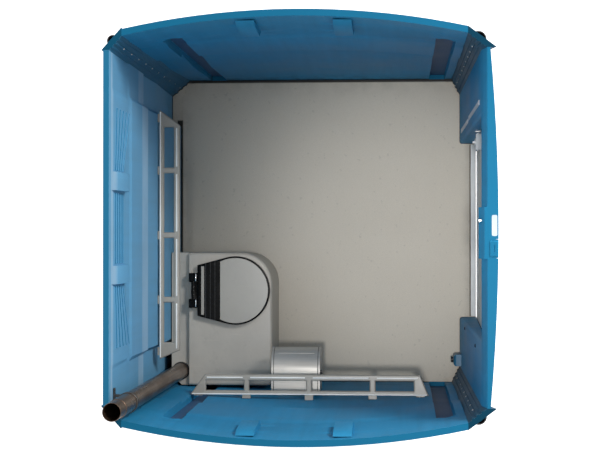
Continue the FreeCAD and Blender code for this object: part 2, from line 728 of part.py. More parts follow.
def floor_pan():
    """Pan with a raised standing surface, a doorway sill and stiffening cells underneath."""
    plan = [(x, y, 0.0) for x, y in floor_outline(SKIN + FOOT_FLANGE, DOOR_PLANE_FOOT)]
    base = prism(plan, (0, 0, FOOT))
    x = HALF_WIDTH_FOOT - FLOOR_LIP_GAP
    rear = REAR_FIELD - FLOOR_LIP_GAP
    raised = box(-x, x, -FRONT_FOOT + FLOOR_LIP_GAP, rear, FOOT - 1.0, FLOOR)
    near = -FRONT_FOOT + FLOOR_LIP_GAP
    edges = [edge for cx in (-x, x) for cy in (near, rear) for edge in upright(raised, cx, cy)]
    raised = raised.makeFillet(FLOOR_CORNER_RADIUS, edges)
    sill_x = DOORWAY_HALF - 1.0
    sill = box(-sill_x, sill_x, -DOOR_PLANE_FOOT, -FRONT_FOOT + FLOOR_CORNER_RADIUS, FOOT - 1.0, FLOOR)
    pan = fused([base, raised, sill])
    cell_x = 2.0 * (POST_START - FLOOR_EDGE) / FLOOR_CELLS
    cell_y = (REAR_FIELD + FRONT_FOOT - 2.0 * FLOOR_EDGE) / FLOOR_CELLS
    cells = []
    for i in range(FLOOR_CELLS):
        for j in range(FLOOR_CELLS):
            x0 = -POST_START + FLOOR_EDGE + i * cell_x
            y0 = -FRONT_FOOT + FLOOR_EDGE + j * cell_y
            cells.append(box(x0 + FLOOR_RIB / 2, x0 + cell_x - FLOOR_RIB / 2, y0 + FLOOR_RIB / 2,
                             y0 + cell_y - FLOOR_RIB / 2, -1.0, FLOOR - FLOOR_SKIN))
    return pan.cut(Part.makeCompound(cells))


def threshold_strip():
    """Metal edging on the doorway sill."""
    half = DOORWAY_HALF - 4.0
    strip = box(-half, half, -DOOR_PLANE_FOOT, -DOOR_PLANE_FOOT + STRIP_WIDTH, FLOOR, FLOOR + STRIP_THICKNESS)
    long_edges = [e for e in strip.Edges if e.BoundBox.ZMin > FLOOR + 1.0 and e.BoundBox.XLength > half]
    return strip.makeFillet(STRIP_THICKNESS * 0.6, long_edges)


def on_door(shape):
    """From the door's own upright frame, y = 0 on the jambs' outer face, to the leaning door plane."""
    shape = shape.copy()
    shape.rotate(V(0, 0, 0), V(1, 0, 0), -math.degrees(DOOR_LEAN))
    shape.translate(V(0, -DOOR_PLANE_FOOT, FOOT))
    return shape


BOLT_Y = BOLT_FROM_LEAF - DOOR_GAP
HINGE_X = -(DOORWAY_HALF + DOOR_OVERLAP + HINGE_OFFSET)
HINGE_Y = -(DOOR_GAP + DOOR_THICKNESS + HINGE_STRAP / 2.0 + 2.0)
PINION_R = BOLT_THROW / (math.pi / 2.0)
PINION_Z = LATCH_HEIGHT + BOLT_WIDTH / 2.0 + PINION_R + 0.4
LEAF_HALF = DOORWAY_HALF + DOOR_OVERLAP
LEAF_IN = -DOOR_GAP
LEAF_OUT = -DOOR_GAP - DOOR_THICKNESS


def door_leaf():
    """The leaf, with three sunk fields on each face and a hole for the latch shaft."""
    leaf = box(-LEAF_HALF, LEAF_HALF, LEAF_OUT, LEAF_IN, DOOR_BOTTOM, DOOR_TOP)
    corners = [e for e in leaf.Edges if e.BoundBox.YLength > DOOR_THICKNESS - 1.0]
    leaf = leaf.makeFillet(DOOR_CORNER, corners)
    half = LEAF_HALF - FIELD_MARGIN
    for low, high in FIELD_HEIGHTS:
        for face, into in ((LEAF_OUT, 1.0), (LEAF_IN, -1.0)):
            field = box(-half, half, face - into, face + into * DOOR_PANEL_RELIEF, low, high)
            edges = [e for e in field.Edges if e.BoundBox.YLength > DOOR_PANEL_RELIEF]
            leaf = leaf.cut(field.makeFillet(FIELD_ROUND, edges))
    hole = rod(LATCH_SHAFT_R + 1.0, V(LATCH_X, LEAF_OUT - 5, PINION_Z), V(LATCH_X, LEAF_IN + 5, PINION_Z))
    return leaf.cut(hole)


def door_seals():
    """Soft strips on the jambs that the leaf closes against."""
    strips = []
    for side in (-1, 1):
        x = side * (DOORWAY_HALF + 1.0)
        low, high = DOOR_BOTTOM + SEAL_SHORT, DOOR_TOP - SEAL_SHORT
        strips.append(box(x, x + side * SEAL_WIDTH, -SEAL_THICKNESS, 0.0, low, high))
    return Part.makeCompound(strips)


def hinge_axis(z0, z1, radius):
    return rod(radius, V(HINGE_X, HINGE_Y, z0), V(HINGE_X, HINGE_Y, z1))


def hinges():
    """Jamb straps, leaf straps and pins of the three hinges."""
    jamb, leaf, pins = [], [], []
    bore = PIN_R + RUNNING_GAP
    inner = HINGE_X - KNUCKLE_R
    for z in HINGE_HEIGHTS:
        low, high = z - KNUCKLE_HALF, z + KNUCKLE_HALF
        plate = box(inner - HINGE_LEAF_LENGTH, inner + 4.0, -HINGE_STRAP, 0.0, low, high)
        web = box(inner - 4.0, inner + 4.0, HINGE_Y, -HINGE_STRAP + 1.0, low, high)
        barrel = hinge_axis(low, high, KNUCKLE_R)
        split = KNUCKLE_SPLIT + KNUCKLE_GAP
        swept = HINGE_Y - KNUCKLE_R - 1.0
        middle = box(inner - 1.0, HINGE_X + 50, swept, 1.0, z - split, z + split)
        near = box(inner - 5.0, HINGE_X + 50, swept, HINGE_Y + KNUCKLE_R + 1.0, z - split, z + split)
        fixed = fused([plate, web, barrel]).cut(middle).cut(near)
        jamb.append(fixed.cut(hinge_axis(low - 1, high + 1, PIN_R)))
        end = HINGE_X + HINGE_OFFSET + HINGE_LEAF_LENGTH
        strap = box(HINGE_X, end, LEAF_OUT - HINGE_STRAP, LEAF_OUT, z - KNUCKLE_SPLIT, z + KNUCKLE_SPLIT)
        knuckle = hinge_axis(z - KNUCKLE_SPLIT, z + KNUCKLE_SPLIT, KNUCKLE_R)
        leaf.append(fused([strap, knuckle]).cut(hinge_axis(low, high, bore)))
        pins.append(fused([hinge_axis(low - 3.0, high, PIN_R), hinge_axis(high, high + 3.0, PIN_R + 2.5)]))
    return [Part.makeCompound(group) for group in (jamb, leaf, pins)]


def hinge_screws():
    """Screw heads of the jamb straps (fixed) and of the leaf straps (moving)."""
    fixed, moving = [], []
    for z in HINGE_HEIGHTS:
        for dx in (18.0, 44.0):
            for dz in (-18.0, 18.0):
                x = HINGE_X - KNUCKLE_R - dx
                fixed.append(screw_head(V(x, -HINGE_STRAP, z + dz), V(0, -1, 0), 4.5, 2.5))
            x = HINGE_X + HINGE_OFFSET + dx
            moving.append(screw_head(V(x, LEAF_OUT - HINGE_STRAP, z), V(0, -1, 0), 4.5, 2.5))
    return Part.makeCompound(fixed), Part.makeCompound(moving)


def screw_head(foot, along, radius, height):
    return Part.makeCone(radius, radius * 0.6, height, foot, along)


def latch_case():
    """Open-backed box on the leaf's inner face that guides the bolt."""
    x0, x1 = LATCH_X - CASE_LENGTH / 2, LATCH_X + CASE_LENGTH / 2
    z0, z1 = LATCH_HEIGHT - 24.0, LATCH_HEIGHT - 24.0 + CASE_HEIGHT
    case = box(x0, x1, LEAF_IN, LEAF_IN + CASE_DEPTH, z0, z1)
    case = case.makeFillet(6.0, [e for e in case.Edges if e.BoundBox.YLength > CASE_DEPTH - 1.0])
    inside = box(x0 + CASE_WALL, x1 - CASE_WALL, LEAF_IN - 1.0, LEAF_IN + CASE_DEPTH - CASE_WALL,
                 z0 + CASE_WALL, z1 - CASE_WALL)
    half = BOLT_WIDTH / 2 + BOLT_SLACK
    way = box(x0 - 5, x1 + 5, BOLT_Y - half, BOLT_Y + half, LATCH_HEIGHT - half, LATCH_HEIGHT + half)
    face = LEAF_IN + CASE_DEPTH + 1
    shaft = rod(LATCH_SHAFT_R + RUNNING_GAP, V(LATCH_X, LEAF_IN, PINION_Z), V(LATCH_X, face, PINION_Z))
    return case.cut(inside).cut(way).cut(shaft)


def latch_bolt():
    tip = DOORWAY_HALF - BOLT_TIP_GAP
    half = BOLT_WIDTH / 2
    bar = box(tip - BOLT_LENGTH, tip, BOLT_Y - half, BOLT_Y + half, LATCH_HEIGHT - half, LATCH_HEIGHT + half)
    return bar.makeChamfer(2.0, [e for e in bar.Edges if e.BoundBox.XMin > tip - 0.1])


def latch_turn():
    """Knob inside, wheel over the bolt, shaft, and the round indicator outside: one turning piece each."""
    case_face = LEAF_IN + CASE_DEPTH
    start, end = LEAF_OUT - INDICATOR_DEPTH, case_face + 1.0
    shaft = rod(LATCH_SHAFT_R, V(LATCH_X, LEAF_OUT - 1.0, PINION_Z), V(LATCH_X, case_face + 2.0, PINION_Z))
    wheel = rod(PINION_R, V(LATCH_X, BOLT_Y - 5.0, PINION_Z), V(LATCH_X, BOLT_Y + 5.0, PINION_Z))
    spindle = fused([shaft, wheel])
    y0 = case_face + 0.6
    disc = rod(KNOB_R, V(LATCH_X, y0, PINION_Z), V(LATCH_X, y0 + 5.0, PINION_Z))
    reach = KNOB_R - 2.0
    grip = box(LATCH_X - 5.0, LATCH_X + 5.0, y0 + 4.0, y0 + KNOB_DEPTH, PINION_Z - reach, PINION_Z + reach)
    grip = grip.makeFillet(3.0, [e for e in grip.Edges if e.BoundBox.YMin > y0 + KNOB_DEPTH - 0.1])
    knob = fused([disc, grip]).cut(shaft)
    face = rod(INDICATOR_R, V(LATCH_X, LEAF_OUT - 0.6, PINION_Z), V(LATCH_X, start - 0.6, PINION_Z))
    face = face.makeFillet(2.0, [e for e in face.Edges if e.BoundBox.YMax < start - 0.5])
    indicator = face.cut(shaft)
    return spindle, knob, indicator


def latch_keeper():
    """Plate with a slot on the jamb's doorway face."""
    def block(x0, x1, half_y, half_z):
        return box(x0, x1, BOLT_Y - half_y, BOLT_Y + half_y, LATCH_HEIGHT - half_z, LATCH_HEIGHT + half_z)

    hole = BOLT_WIDTH / 2 + KEEPER_SLACK
    plate = block(DOORWAY_HALF - KEEPER_THICKNESS, DOORWAY_HALF, KEEPER[0] / 2, KEEPER[1] / 2)
    return plate.cut(block(DOORWAY_HALF - KEEPER_THICKNESS - 1, DOORWAY_HALF + 1, hole, hole))


def pull_handle():
    """Bow handle on the outer face."""
    x, z = LATCH_X - 5.0, LATCH_HEIGHT - PULL_DROP
    half = PULL_LENGTH / 2
    near = LEAF_OUT - PULL_REACH
    bow = box(x - PULL_BAR / 2, x + PULL_BAR / 2, near, LEAF_OUT, z - half, z + half)
    bends = [e for e in bow.Edges if e.BoundBox.XLength > PULL_BAR - 1 and e.BoundBox.YMax < near + 1]
    bow = bow.makeFillet(PULL_ROUND, bends)
    clear = half - PULL_BAR
    gap = box(x - PULL_BAR, x + PULL_BAR, near + PULL_BAR, LEAF_OUT + 1, z - clear, z + clear)
    feet = []
    for side in (-1, 1):
        mid = z + side * (half - PULL_BAR / 2)
        feet.append(box(x - PULL_FOOT / 2, x + PULL_FOOT / 2, LEAF_OUT - PULL_FOOT_HEIGHT, LEAF_OUT,
                        mid - PULL_FOOT / 2, mid + PULL_FOOT / 2))
    return fused([bow.cut(gap)] + feet)


def seat_outline(grow, z):
    """Round front, straight tapering neck: the plan of the seat and lid."""
    radius = SEAT_R + grow
    neck, neck_y = SEAT_NECK_HALF + grow * 0.7, SEAT_NECK_Y + grow
    dx, dy = neck, neck_y - SEAT_Y
    reach = math.hypot(dx, dy)
    turn = math.atan2(dy, dx) - math.acos(radius / reach)
    tx, ty = radius * math.cos(turn), radius * math.sin(turn)
    right, left = SEAT_X + tx, SEAT_X - tx
    return Part.Wire([
        line((SEAT_X + neck, neck_y, z), (SEAT_X - neck, neck_y, z)),
        line((SEAT_X - neck, neck_y, z), (left, SEAT_Y + ty, z)),
        arc((left, SEAT_Y + ty, z), (SEAT_X, SEAT_Y - radius, z), (right, SEAT_Y + ty, z)),
        line((right, SEAT_Y + ty, z), (SEAT_X + neck, neck_y, z)),
    ])


def seat_hole(grow, z0, z1):
    """Long rounded opening through the deck and the seat."""
    radius = SEAT_HOLE_R + grow
    low, high = SEAT_Y - SEAT_HOLE_STRETCH / 2, SEAT_Y + SEAT_HOLE_STRETCH / 2
    bar = box(SEAT_X - radius, SEAT_X + radius, low, high, z0, z1)
    ends = [rod(radius, V(SEAT_X, y, z0), V(SEAT_X, y, z1)) for y in (low, high)]
    return fused([bar] + ends)


def plate_from(wire, height):
    return Part.Face(wire).extrude(V(0, 0, height))


def upright(shape, x, y):
    """The upright edge of a block at one corner of its plan."""
    found = []
    for edge in shape.Edges:
        b = edge.BoundBox
        if b.ZLength > 1.0 and max(abs(b.XMin - x), abs(b.XMax - x), abs(b.YMin - y), abs(b.YMax - y)) < 0.01:
            found.append(edge)
    return found


def tank_block(inset, z0, z1):
    """Upright block with the tank's plan: one large round corner towards the room."""
    x0, x1 = TANK_LEFT + inset, TANK_RIGHT - inset
    y0, y1 = TANK_FRONT + inset, TANK_REAR - inset
    block = box(x0, x1, y0, y1, z0, z1)
    block = block.makeFillet(TANK_CORNER_R - inset, upright(block, x1, y0))
    block = block.makeFillet(TANK_SMALL_R - inset, upright(block, x0, y0))
    return block.makeChamfer(TANK_CUT - inset * 0.6, upright(block, x0, y1))


def waste_tank():
    outer = tank_block(0.0, FLOOR, DECK)
    step = box(TANK_LEFT - 1, TANK_RIGHT + 1, LEDGE_START, TANK_REAR + 1, DECK - LEDGE_DROP, DECK + 1)
    outer = outer.cut(step)
    rim = [e for e in outer.Edges if e.BoundBox.ZMin > DECK - 0.1 and e.BoundBox.YMax < LEDGE_START - 0.1
           or (e.BoundBox.ZMin > DECK - 0.1 and e.BoundBox.YLength > 100.0)]
    outer = outer.makeFillet(TANK_EDGE_R, rim)
    inner = tank_block(TANK_WALL, FLOOR + TANK_WALL, DECK - TANK_WALL)
    inner = inner.cut(box(TANK_LEFT - 1, TANK_RIGHT + 1, LEDGE_START - TANK_WALL, TANK_REAR + 1,
                          DECK - LEDGE_DROP - TANK_WALL, DECK + 1))
    hole = seat_hole(-6.0, DECK - 60, DECK + 20)
    pipe = rod(PIPE_R + 0.5, V(PIPE_X, PIPE_Y, DECK - 100), V(PIPE_X, PIPE_Y, DECK))
    return outer.cut(inner).cut(hole).cut(pipe)


def drop_chute():
    """Flared collar that hangs from the deck opening into the tank."""
    z0, z1 = DECK - 90.0, DECK - TANK_WALL
    outer = seat_hole(14.0, z1 - 6.0, z1)
    sleeve = seat_hole(-8.0, z0, z1)
    bore = seat_hole(-12.0, z0 - 1, z1 + 1)
    return fused([outer, sleeve]).cut(bore)


def seat_ring():
    z0 = DECK
    ring = plate_from(seat_outline(0.0, z0), RING_THICKNESS)
    ring = ring.makeFillet(6.0, [e for e in ring.Edges if e.BoundBox.ZMin > z0 + RING_THICKNESS - 0.1])
    ring = ring.cut(seat_hole(0.0, z0 - 1, z0 + RING_THICKNESS + 1))
    return ring


LID_Z = DECK + RING_THICKNESS + LID_GAP
LID_TOP = LID_Z + LID_THICKNESS
LID_AXIS_Z = LID_Z + 4.0


def across(radius, half):
    """A rod along the lid's hinge line, half its length each side of the seat's middle."""
    return rod(radius, V(SEAT_X - half, LID_HINGE_Y, LID_AXIS_Z), V(SEAT_X + half, LID_HINGE_Y, LID_AXIS_Z))


def lid():
    """Hollow lid with a sunk round-fronted field, two raised steps and a hinge knuckle behind."""
    body = plate_from(seat_outline(0.0, LID_Z), LID_THICKNESS)
    body = body.makeFillet(LID_ROUND, [e for e in body.Edges if e.BoundBox.ZMin > LID_TOP - 0.1])
    hollow = plate_from(seat_outline(-LID_WALL, LID_Z - 1), LID_THICKNESS - LID_WALL - PANEL_THICKNESS)
    body = body.cut(hollow)
    body = body.cut(panel_shape(0.0, LID_TOP - PANEL_THICKNESS, LID_TOP + 1))
    wide = 2 * SEAT_R
    for y in LID_STEPS:
        groove = box(SEAT_X - wide, SEAT_X + wide, y - 2, y + 2, LID_TOP - LID_GROOVE, LID_TOP + 1)
        body = body.cut(groove)
    body = body.cut(bar_slot(0.0))
    half = BLOCK_OFFSET - BLOCK_WIDTH / 2 - KNUCKLE_GAP
    arm = box(SEAT_X - half, SEAT_X + half, SEAT_NECK_Y - 8, LID_HINGE_Y, LID_AXIS_Z, LID_AXIS_Z + 9)
    return fused([body, across(LID_HINGE_R, half), arm]).cut(across(LID_PIN_R + RUNNING_GAP, SEAT_R))


def panel_shape(inset, z0, z1):
    """The D-shaped field of the lid."""
    radius = SEAT_R - PANEL_MARGIN - inset
    disc = rod(radius, V(SEAT_X, SEAT_Y, z0), V(SEAT_X, SEAT_Y, z1))
    keep = box(SEAT_X - 300, SEAT_X + 300, SEAT_Y - 300, PANEL_REAR_Y - inset, z0, z1)
    return disc.common(keep)


def bar_slot(inset):
    half = SEAT_NECK_HALF - 6.0 - inset
    width = BAR_WIDTH / 2 - inset
    low = LID_TOP - LID_GROOVE
    return box(SEAT_X - half, SEAT_X + half, BAR_Y - width, BAR_Y + width, low, low + BAR_THICKNESS)


def hinge_blocks():
    blocks = []
    for side in (-1, 1):
        x = SEAT_X + side * BLOCK_OFFSET
        block = box(x - BLOCK_WIDTH / 2, x + BLOCK_WIDTH / 2, LID_HINGE_Y - BLOCK_DEPTH / 2 + 1.5,
                    LID_HINGE_Y + BLOCK_DEPTH / 2, DECK, LID_AXIS_Z + 13.0)
        block = block.makeFillet(5.0, [e for e in block.Edges if e.BoundBox.ZMin > LID_AXIS_Z + 12.0])
        blocks.append(block)
    return Part.makeCompound(blocks).cut(across(LID_PIN_R, SEAT_R))


def lid_pin():
    return across(LID_PIN_R, BLOCK_OFFSET + BLOCK_WIDTH / 2)


def seat_bumpers():
    """Buffers on the ring that the lid comes down on."""
    spots = [(-138, -50), (138, -50), (-126, 110), (126, 110)]
    z = DECK + RING_THICKNESS
    height = LID_GAP + LID_THICKNESS - LID_WALL - PANEL_THICKNESS - 1.0 - 0.4
    feet = [V(SEAT_X + dx, SEAT_Y + dy, z) for dx, dy in spots]
    return Part.makeCompound([Part.makeCone(BUMPER_R, BUMPER_R * 0.7, height, foot) for foot in feet])


def vent_pipe():
    low = DECK - LEDGE_DROP - PIPE_SINK
    high = FLOOR + PIPE_TOP
    shoulder = V(PIPE_X, PIPE_Y, high - SPIGOT_LENGTH)
    body = rod(PIPE_R, V(PIPE_X, PIPE_Y, low), shoulder)
    body = fused([body, rod(SPIGOT_R, shoulder, V(PIPE_X, PIPE_Y, high))])
    return body.cut(rod(PIPE_R - PIPE_WALL, V(PIPE_X, PIPE_Y, low - 1), V(PIPE_X, PIPE_Y, high + 1)))


def pipe_gasket():
    z = DECK - LEDGE_DROP
    ring = Part.makeCone(GASKET_R, PIPE_R + 3.0, GASKET_HEIGHT, V(PIPE_X, PIPE_Y, z))
    return ring.cut(rod(PIPE_R, V(PIPE_X, PIPE_Y, z - 1), V(PIPE_X, PIPE_Y, z + GASKET_HEIGHT + 1)))


def pipe_clip():
    """Band round the pipe with a tab back to the corner post."""
    z0 = FLOOR + CLIP_HEIGHT
    band = tube(PIPE_R + CLIP_THICKNESS, PIPE_R, V(PIPE_X, PIPE_Y, z0), V(PIPE_X, PIPE_Y, z0 + CLIP_WIDTH))
    far = rear_corner_y(z0 + CLIP_WIDTH) - rear_relief(z0) - PAD_GAP
    tab = box(PIPE_X + 22, PIPE_X + 34, PIPE_Y + PIPE_R * 0.6, far - CLIP_FOOT / 2, z0, z0 + CLIP_WIDTH)
    foot = box(PIPE_X + 10, PIPE_X + 60, far - CLIP_FOOT, far, z0, z0 + CLIP_WIDTH)
    hole = rod(PIPE_R, V(PIPE_X, PIPE_Y, z0 - 1), V(PIPE_X, PIPE_Y, z0 + CLIP_WIDTH + 1))
    return fused([band, tab, foot]).cut(hole)


def rail_frame(outer, inner, gaps, back):
    """Flat ladder frame in plan: wall bar at y = back, hand bar towards -Y, slanted ends."""
    front = back - RAIL_DEPTH
    z0 = FLOOR + RAIL_HEIGHT - RAIL_THICKNESS / 2
    plan = [(outer[0], back, z0), (inner[0], front, z0), (inner[1], front, z0), (outer[1], back, z0)]
    frame = prism(plan, (0, 0, RAIL_THICKNESS))
    for low, high in gaps:
        window = box(low, high, front + RAIL_INNER_BAR, back - RAIL_WALL_BAR, z0 - 1, z0 + RAIL_THICKNESS + 1)
        frame = frame.cut(window)
    return frame.makeFillet(RAIL_ROUND, [e for e in frame.Edges if abs(e.BoundBox.ZLength) < 0.01])


def in_bars(rail, back):
    """The rail as it is welded up: hand bar, crossbars with the slanted ends, and wall bar with its feet."""
    cuts = (-2000.0, back - RAIL_DEPTH + RAIL_INNER_BAR, back - RAIL_WALL_BAR, 2000.0)
    bars = []
    for near, far in zip(cuts, cuts[1:]):
        bars += rail.common(box(-1000, 1000, near, far, 0, 2000)).Solids
    return Part.makeCompound(bars)


def rail_pads(gaps, outer, back, wall_at):
    """Short feet from the wall bar to the wall, one at each end and at each crossbar."""
    middles = [(gaps[i][1] + gaps[i + 1][0]) / 2 for i in range(len(gaps) - 1)]
    middles = [outer[0] + RAIL_PAD] + middles + [outer[1] - RAIL_PAD]
    z0 = FLOOR + RAIL_HEIGHT - RAIL_THICKNESS / 2 + 2
    z1 = z0 + RAIL_THICKNESS - 4
    pads = []
    for x in middles:
        far = wall_at(x, RAIL_PAD / 2)
        pads.append(box(x - RAIL_PAD / 2, x + RAIL_PAD / 2, back - RAIL_WALL_BAR / 2, far, z0, z1))
    return pads, middles


def rear_relief(z):
    """Relief of the flat fields at a height, straight between the band heights."""
    h = z - FLOOR
    for i in range(len(BAND_HEIGHTS) - 1):
        if BAND_HEIGHTS[i] <= h <= BAND_HEIGHTS[i + 1]:
            part = (h - BAND_HEIGHTS[i]) / (BAND_HEIGHTS[i + 1] - BAND_HEIGHTS[i])
            return BAND_RELIEF[i] + part * (BAND_RELIEF[i + 1] - BAND_RELIEF[i])
    return 0.0


def rear_rail():
    z_low = FLOOR + RAIL_HEIGHT - RAIL_THICKNESS / 2
    z_high = z_low + RAIL_THICKNESS

    def wall_at(x, half):
        corner = abs(x) - half > REAR_STEP + STEP_SLOPE
        faces = [(rear_corner_y(z) if corner else REAR_FIELD) - rear_relief(z) for z in (z_low, z_high)]
        return min(faces) - PAD_GAP

    frame = rail_frame(REAR_RAIL, REAR_RAIL_INNER, REAR_RAIL_GAPS, REAR_RAIL_BACK)
    pads, spots = rail_pads(REAR_RAIL_GAPS, REAR_RAIL, REAR_RAIL_BACK, wall_at)
    return in_bars(fused([frame] + pads), REAR_RAIL_BACK), spots


def side_rail():
    """Built along X like the rear rail, then turned on to the left wall."""
    z_low = FLOOR + RAIL_HEIGHT - RAIL_THICKNESS / 2
    z_high = z_low + RAIL_THICKNESS

    def wall_at(y, half):
        skin = [side_skin_x(y + s, z) - rear_relief(z) for s in (-half, half) for z in (z_low, z_high)]
        return min(skin) - PAD_GAP

    frame = rail_frame(SIDE_RAIL, SIDE_RAIL_INNER, SIDE_RAIL_GAPS, SIDE_RAIL_BACK)
    pads, spots = rail_pads(SIDE_RAIL_GAPS, SIDE_RAIL, SIDE_RAIL_BACK, wall_at)
    rail = in_bars(fused([frame] + pads), SIDE_RAIL_BACK)
    rail.rotate(V(0, 0, 0), V(0, 0, 1), 90)
    return rail, spots


def rail_bolts(rear_spots, side_spots):
    """Button heads on the underside of each rail's wall bar."""
    heads = []
    z = FLOOR + RAIL_HEIGHT - RAIL_THICKNESS / 2
    for x in rear_spots:
        heads.append(screw_head(V(x, REAR_RAIL_BACK - RAIL_WALL_BAR / 2, z), V(0, 0, -1), RAIL_BOLT_R, 4.0))
    for y in side_spots:
        heads.append(screw_head(V(-SIDE_RAIL_BACK + RAIL_WALL_BAR / 2, y, z), V(0, 0, -1), RAIL_BOLT_R, 4.0))
    return Part.makeCompound(heads)


HOLDER_Z = FLOOR + HOLDER_LOW
HINGE_LINE = (HOLDER_BACK + PLATE_THICKNESS + HOLDER_PIN_OUT, HOLDER_Z + HOLDER_PIN_UP)


def holder_profile(inset, y):
    """Cover cut seen from the end: straight back, half-round front."""
    x0 = HOLDER_BACK + PLATE_THICKNESS + 1.0
    top = HOLDER_Z + 2 * HOLDER_RADIUS - inset
    low = HOLDER_Z + inset
    centre = HOLDER_FRONT - HOLDER_RADIUS
    return Part.Wire([
        line((x0, y, low), (centre, y, low)),
        arc((centre, y, low), (HOLDER_FRONT - inset, y, HOLDER_Z + HOLDER_RADIUS), (centre, y, top)),
        line((centre, y, top), (x0, y, top)), line((x0, y, top), (x0, y, low)),
    ])


def holder_cover():
    """Half-round cover with rimmed ends and a lip, open at the back, that swings down on two lugs."""
    y0, y1 = HOLDER_Y
    outer = Part.Face(holder_profile(0.0, y0)).extrude(V(0, y1 - y0, 0))
    near_hinge = box(HOLDER_BACK, HINGE_LINE[0] + 35.0, y0 - 1, y1 + 1, HOLDER_Z - 10, HOLDER_Z + 60)
    for y in (y0, y1 - COVER_RIM_WIDTH):
        rim = Part.Face(holder_profile(-COVER_RIM, y)).extrude(V(0, COVER_RIM_WIDTH, 0))
        outer = outer.fuse(rim.cut(near_hinge))
    turn = math.radians(COVER_LIP_ANGLE)
    lip_x = HOLDER_FRONT - HOLDER_RADIUS + HOLDER_RADIUS * math.sin(turn)
    lip_z = HOLDER_Z + HOLDER_RADIUS + HOLDER_RADIUS * math.cos(turn)
    near, far = y0 + COVER_LIP_INSET, y1 - COVER_LIP_INSET
    outer = outer.fuse(rod(COVER_LIP_R, V(lip_x, near, lip_z), V(lip_x, far, lip_z)))
    inner = Part.Face(holder_profile(COVER_WALL, y0 + COVER_WALL)).extrude(V(0, y1 - y0 - 2 * COVER_WALL, 0))
    back = box(HOLDER_BACK - 1, HOLDER_BACK + PLATE_THICKNESS + 30, y0 + COVER_WALL, y1 - COVER_WALL,
               HOLDER_Z + COVER_WALL, HOLDER_Z + 2 * HOLDER_RADIUS - COVER_WALL)
    inner = inner.fuse(back)
    x, z = HINGE_LINE
    heel = box(HOLDER_BACK, x + HOLDER_HEEL, y0 - 1, y1 + 1, HOLDER_Z - 1, HOLDER_Z + COVER_WALL + 0.5)
    behind = box(HOLDER_BACK, x, y0 - 1, y1 + 1, HOLDER_Z - 1, z)
    slot = box(SLOT_X[0], SLOT_X[1], y0 + 15, y1 - 15, HOLDER_Z - 1, HOLDER_Z + COVER_WALL + 1)
    shell = outer.cut(inner).cut(heel).cut(behind).cut(slot)
    lugs = []
    for y in lug_places():
        near, far = y - LUG_WIDTH / 2, y + LUG_WIDTH / 2
        web = box(x, x + 2 * LUG_R, near, far, HOLDER_Z, HOLDER_Z + LUG_R - 1.0)
        lugs.append(fused([rod(LUG_R, V(x, near, z), V(x, far, z)), web]))
    bore = rod(HOLDER_PIN_R + RUNNING_GAP, V(x, y0 - 5, z), V(x, y1 + 5, z))
    knob_hole = rod(4.3, V(LOCK_X, y0 - 2, FLOOR + LOCK_Z), V(LOCK_X, y0 + COVER_WALL + 1, FLOOR + LOCK_Z))
    return fused([shell] + lugs).cut(bore).cut(knob_hole)


def lug_places():
    y0, y1 = HOLDER_Y
    return (y0 + 45.0, y1 - 45.0)


def holder_plate():
    """Back plate on the wall with the two spindle arms and the hinge ears."""
    y0, y1 = HOLDER_Y
    inner0, inner1 = y0 + COVER_WALL + ARM_CLEARANCE, y1 - COVER_WALL - ARM_CLEARANCE
    z1 = HOLDER_Z + 2 * HOLDER_RADIUS
    plate = box(HOLDER_BACK, HOLDER_BACK + PLATE_THICKNESS, y0, y1, HOLDER_Z, z1)
    back = min(side_skin_x(y, z) - rear_relief(z) for y in (y0, y1) for z in (HOLDER_Z, z1))
    spacer = box(-back + PAD_GAP, HOLDER_BACK + 1, y0 + 30, y1 - 30, HOLDER_Z + 30, z1 - 30)
    pieces = [plate, spacer]
    roll_z = FLOOR + ROLL_Z
    for y in (inner0, inner1 - ARM_THICKNESS):
        arm = prism([
            (HOLDER_BACK + 2, y, roll_z - ARM_ROOT), (ROLL_X, y, roll_z - ARM_NOSE_R),
            (ROLL_X, y, roll_z + ARM_NOSE_R), (HOLDER_BACK + 2, y, roll_z + ARM_ROOT),
        ], (0, ARM_THICKNESS, 0))
        nose = rod(ARM_NOSE_R, V(ROLL_X, y, roll_z), V(ROLL_X, y + ARM_THICKNESS, roll_z))
        stub = rod(STUB_R, V(ROLL_X, y - 1, roll_z), V(ROLL_X, y + ARM_THICKNESS + 1, roll_z))
        pieces.append(fused([arm, nose]).cut(stub))
    catch_x = LOCK_X + TONGUE_WIDTH / 2 + CATCH_GAP
    catch_top = FLOOR + LOCK_Z - TONGUE_LENGTH + CATCH_GRIP
    pieces.append(box(catch_x, catch_x + CATCH_WIDTH, inner0, inner0 + ARM_THICKNESS,
                      roll_z + STUB_R + 4.0, catch_top))
    x, z = HINGE_LINE
    for y in lug_places():
        for side in (-1, 1):
            near = y + side * (LUG_WIDTH / 2 + 0.5)
            far = near + side * 7.0
            ear = box(HOLDER_BACK + 2, x, near, far, z - LUG_R, z + LUG_R)
            ear = fused([ear, rod(LUG_R, V(x, min(near, far), z), V(x, max(near, far), z))])
            pieces.append(ear.cut(rod(HOLDER_PIN_R, V(x, y - 40, z), V(x, y + 40, z))))
    return fused(pieces)


def holder_pin():
    x, z = HINGE_LINE
    pins = []
    for y in lug_places():
        reach = LUG_WIDTH / 2 + 7.5
        pins.append(rod(HOLDER_PIN_R, V(x, y - reach, z), V(x, y + reach, z)))
    return Part.makeCompound(pins)


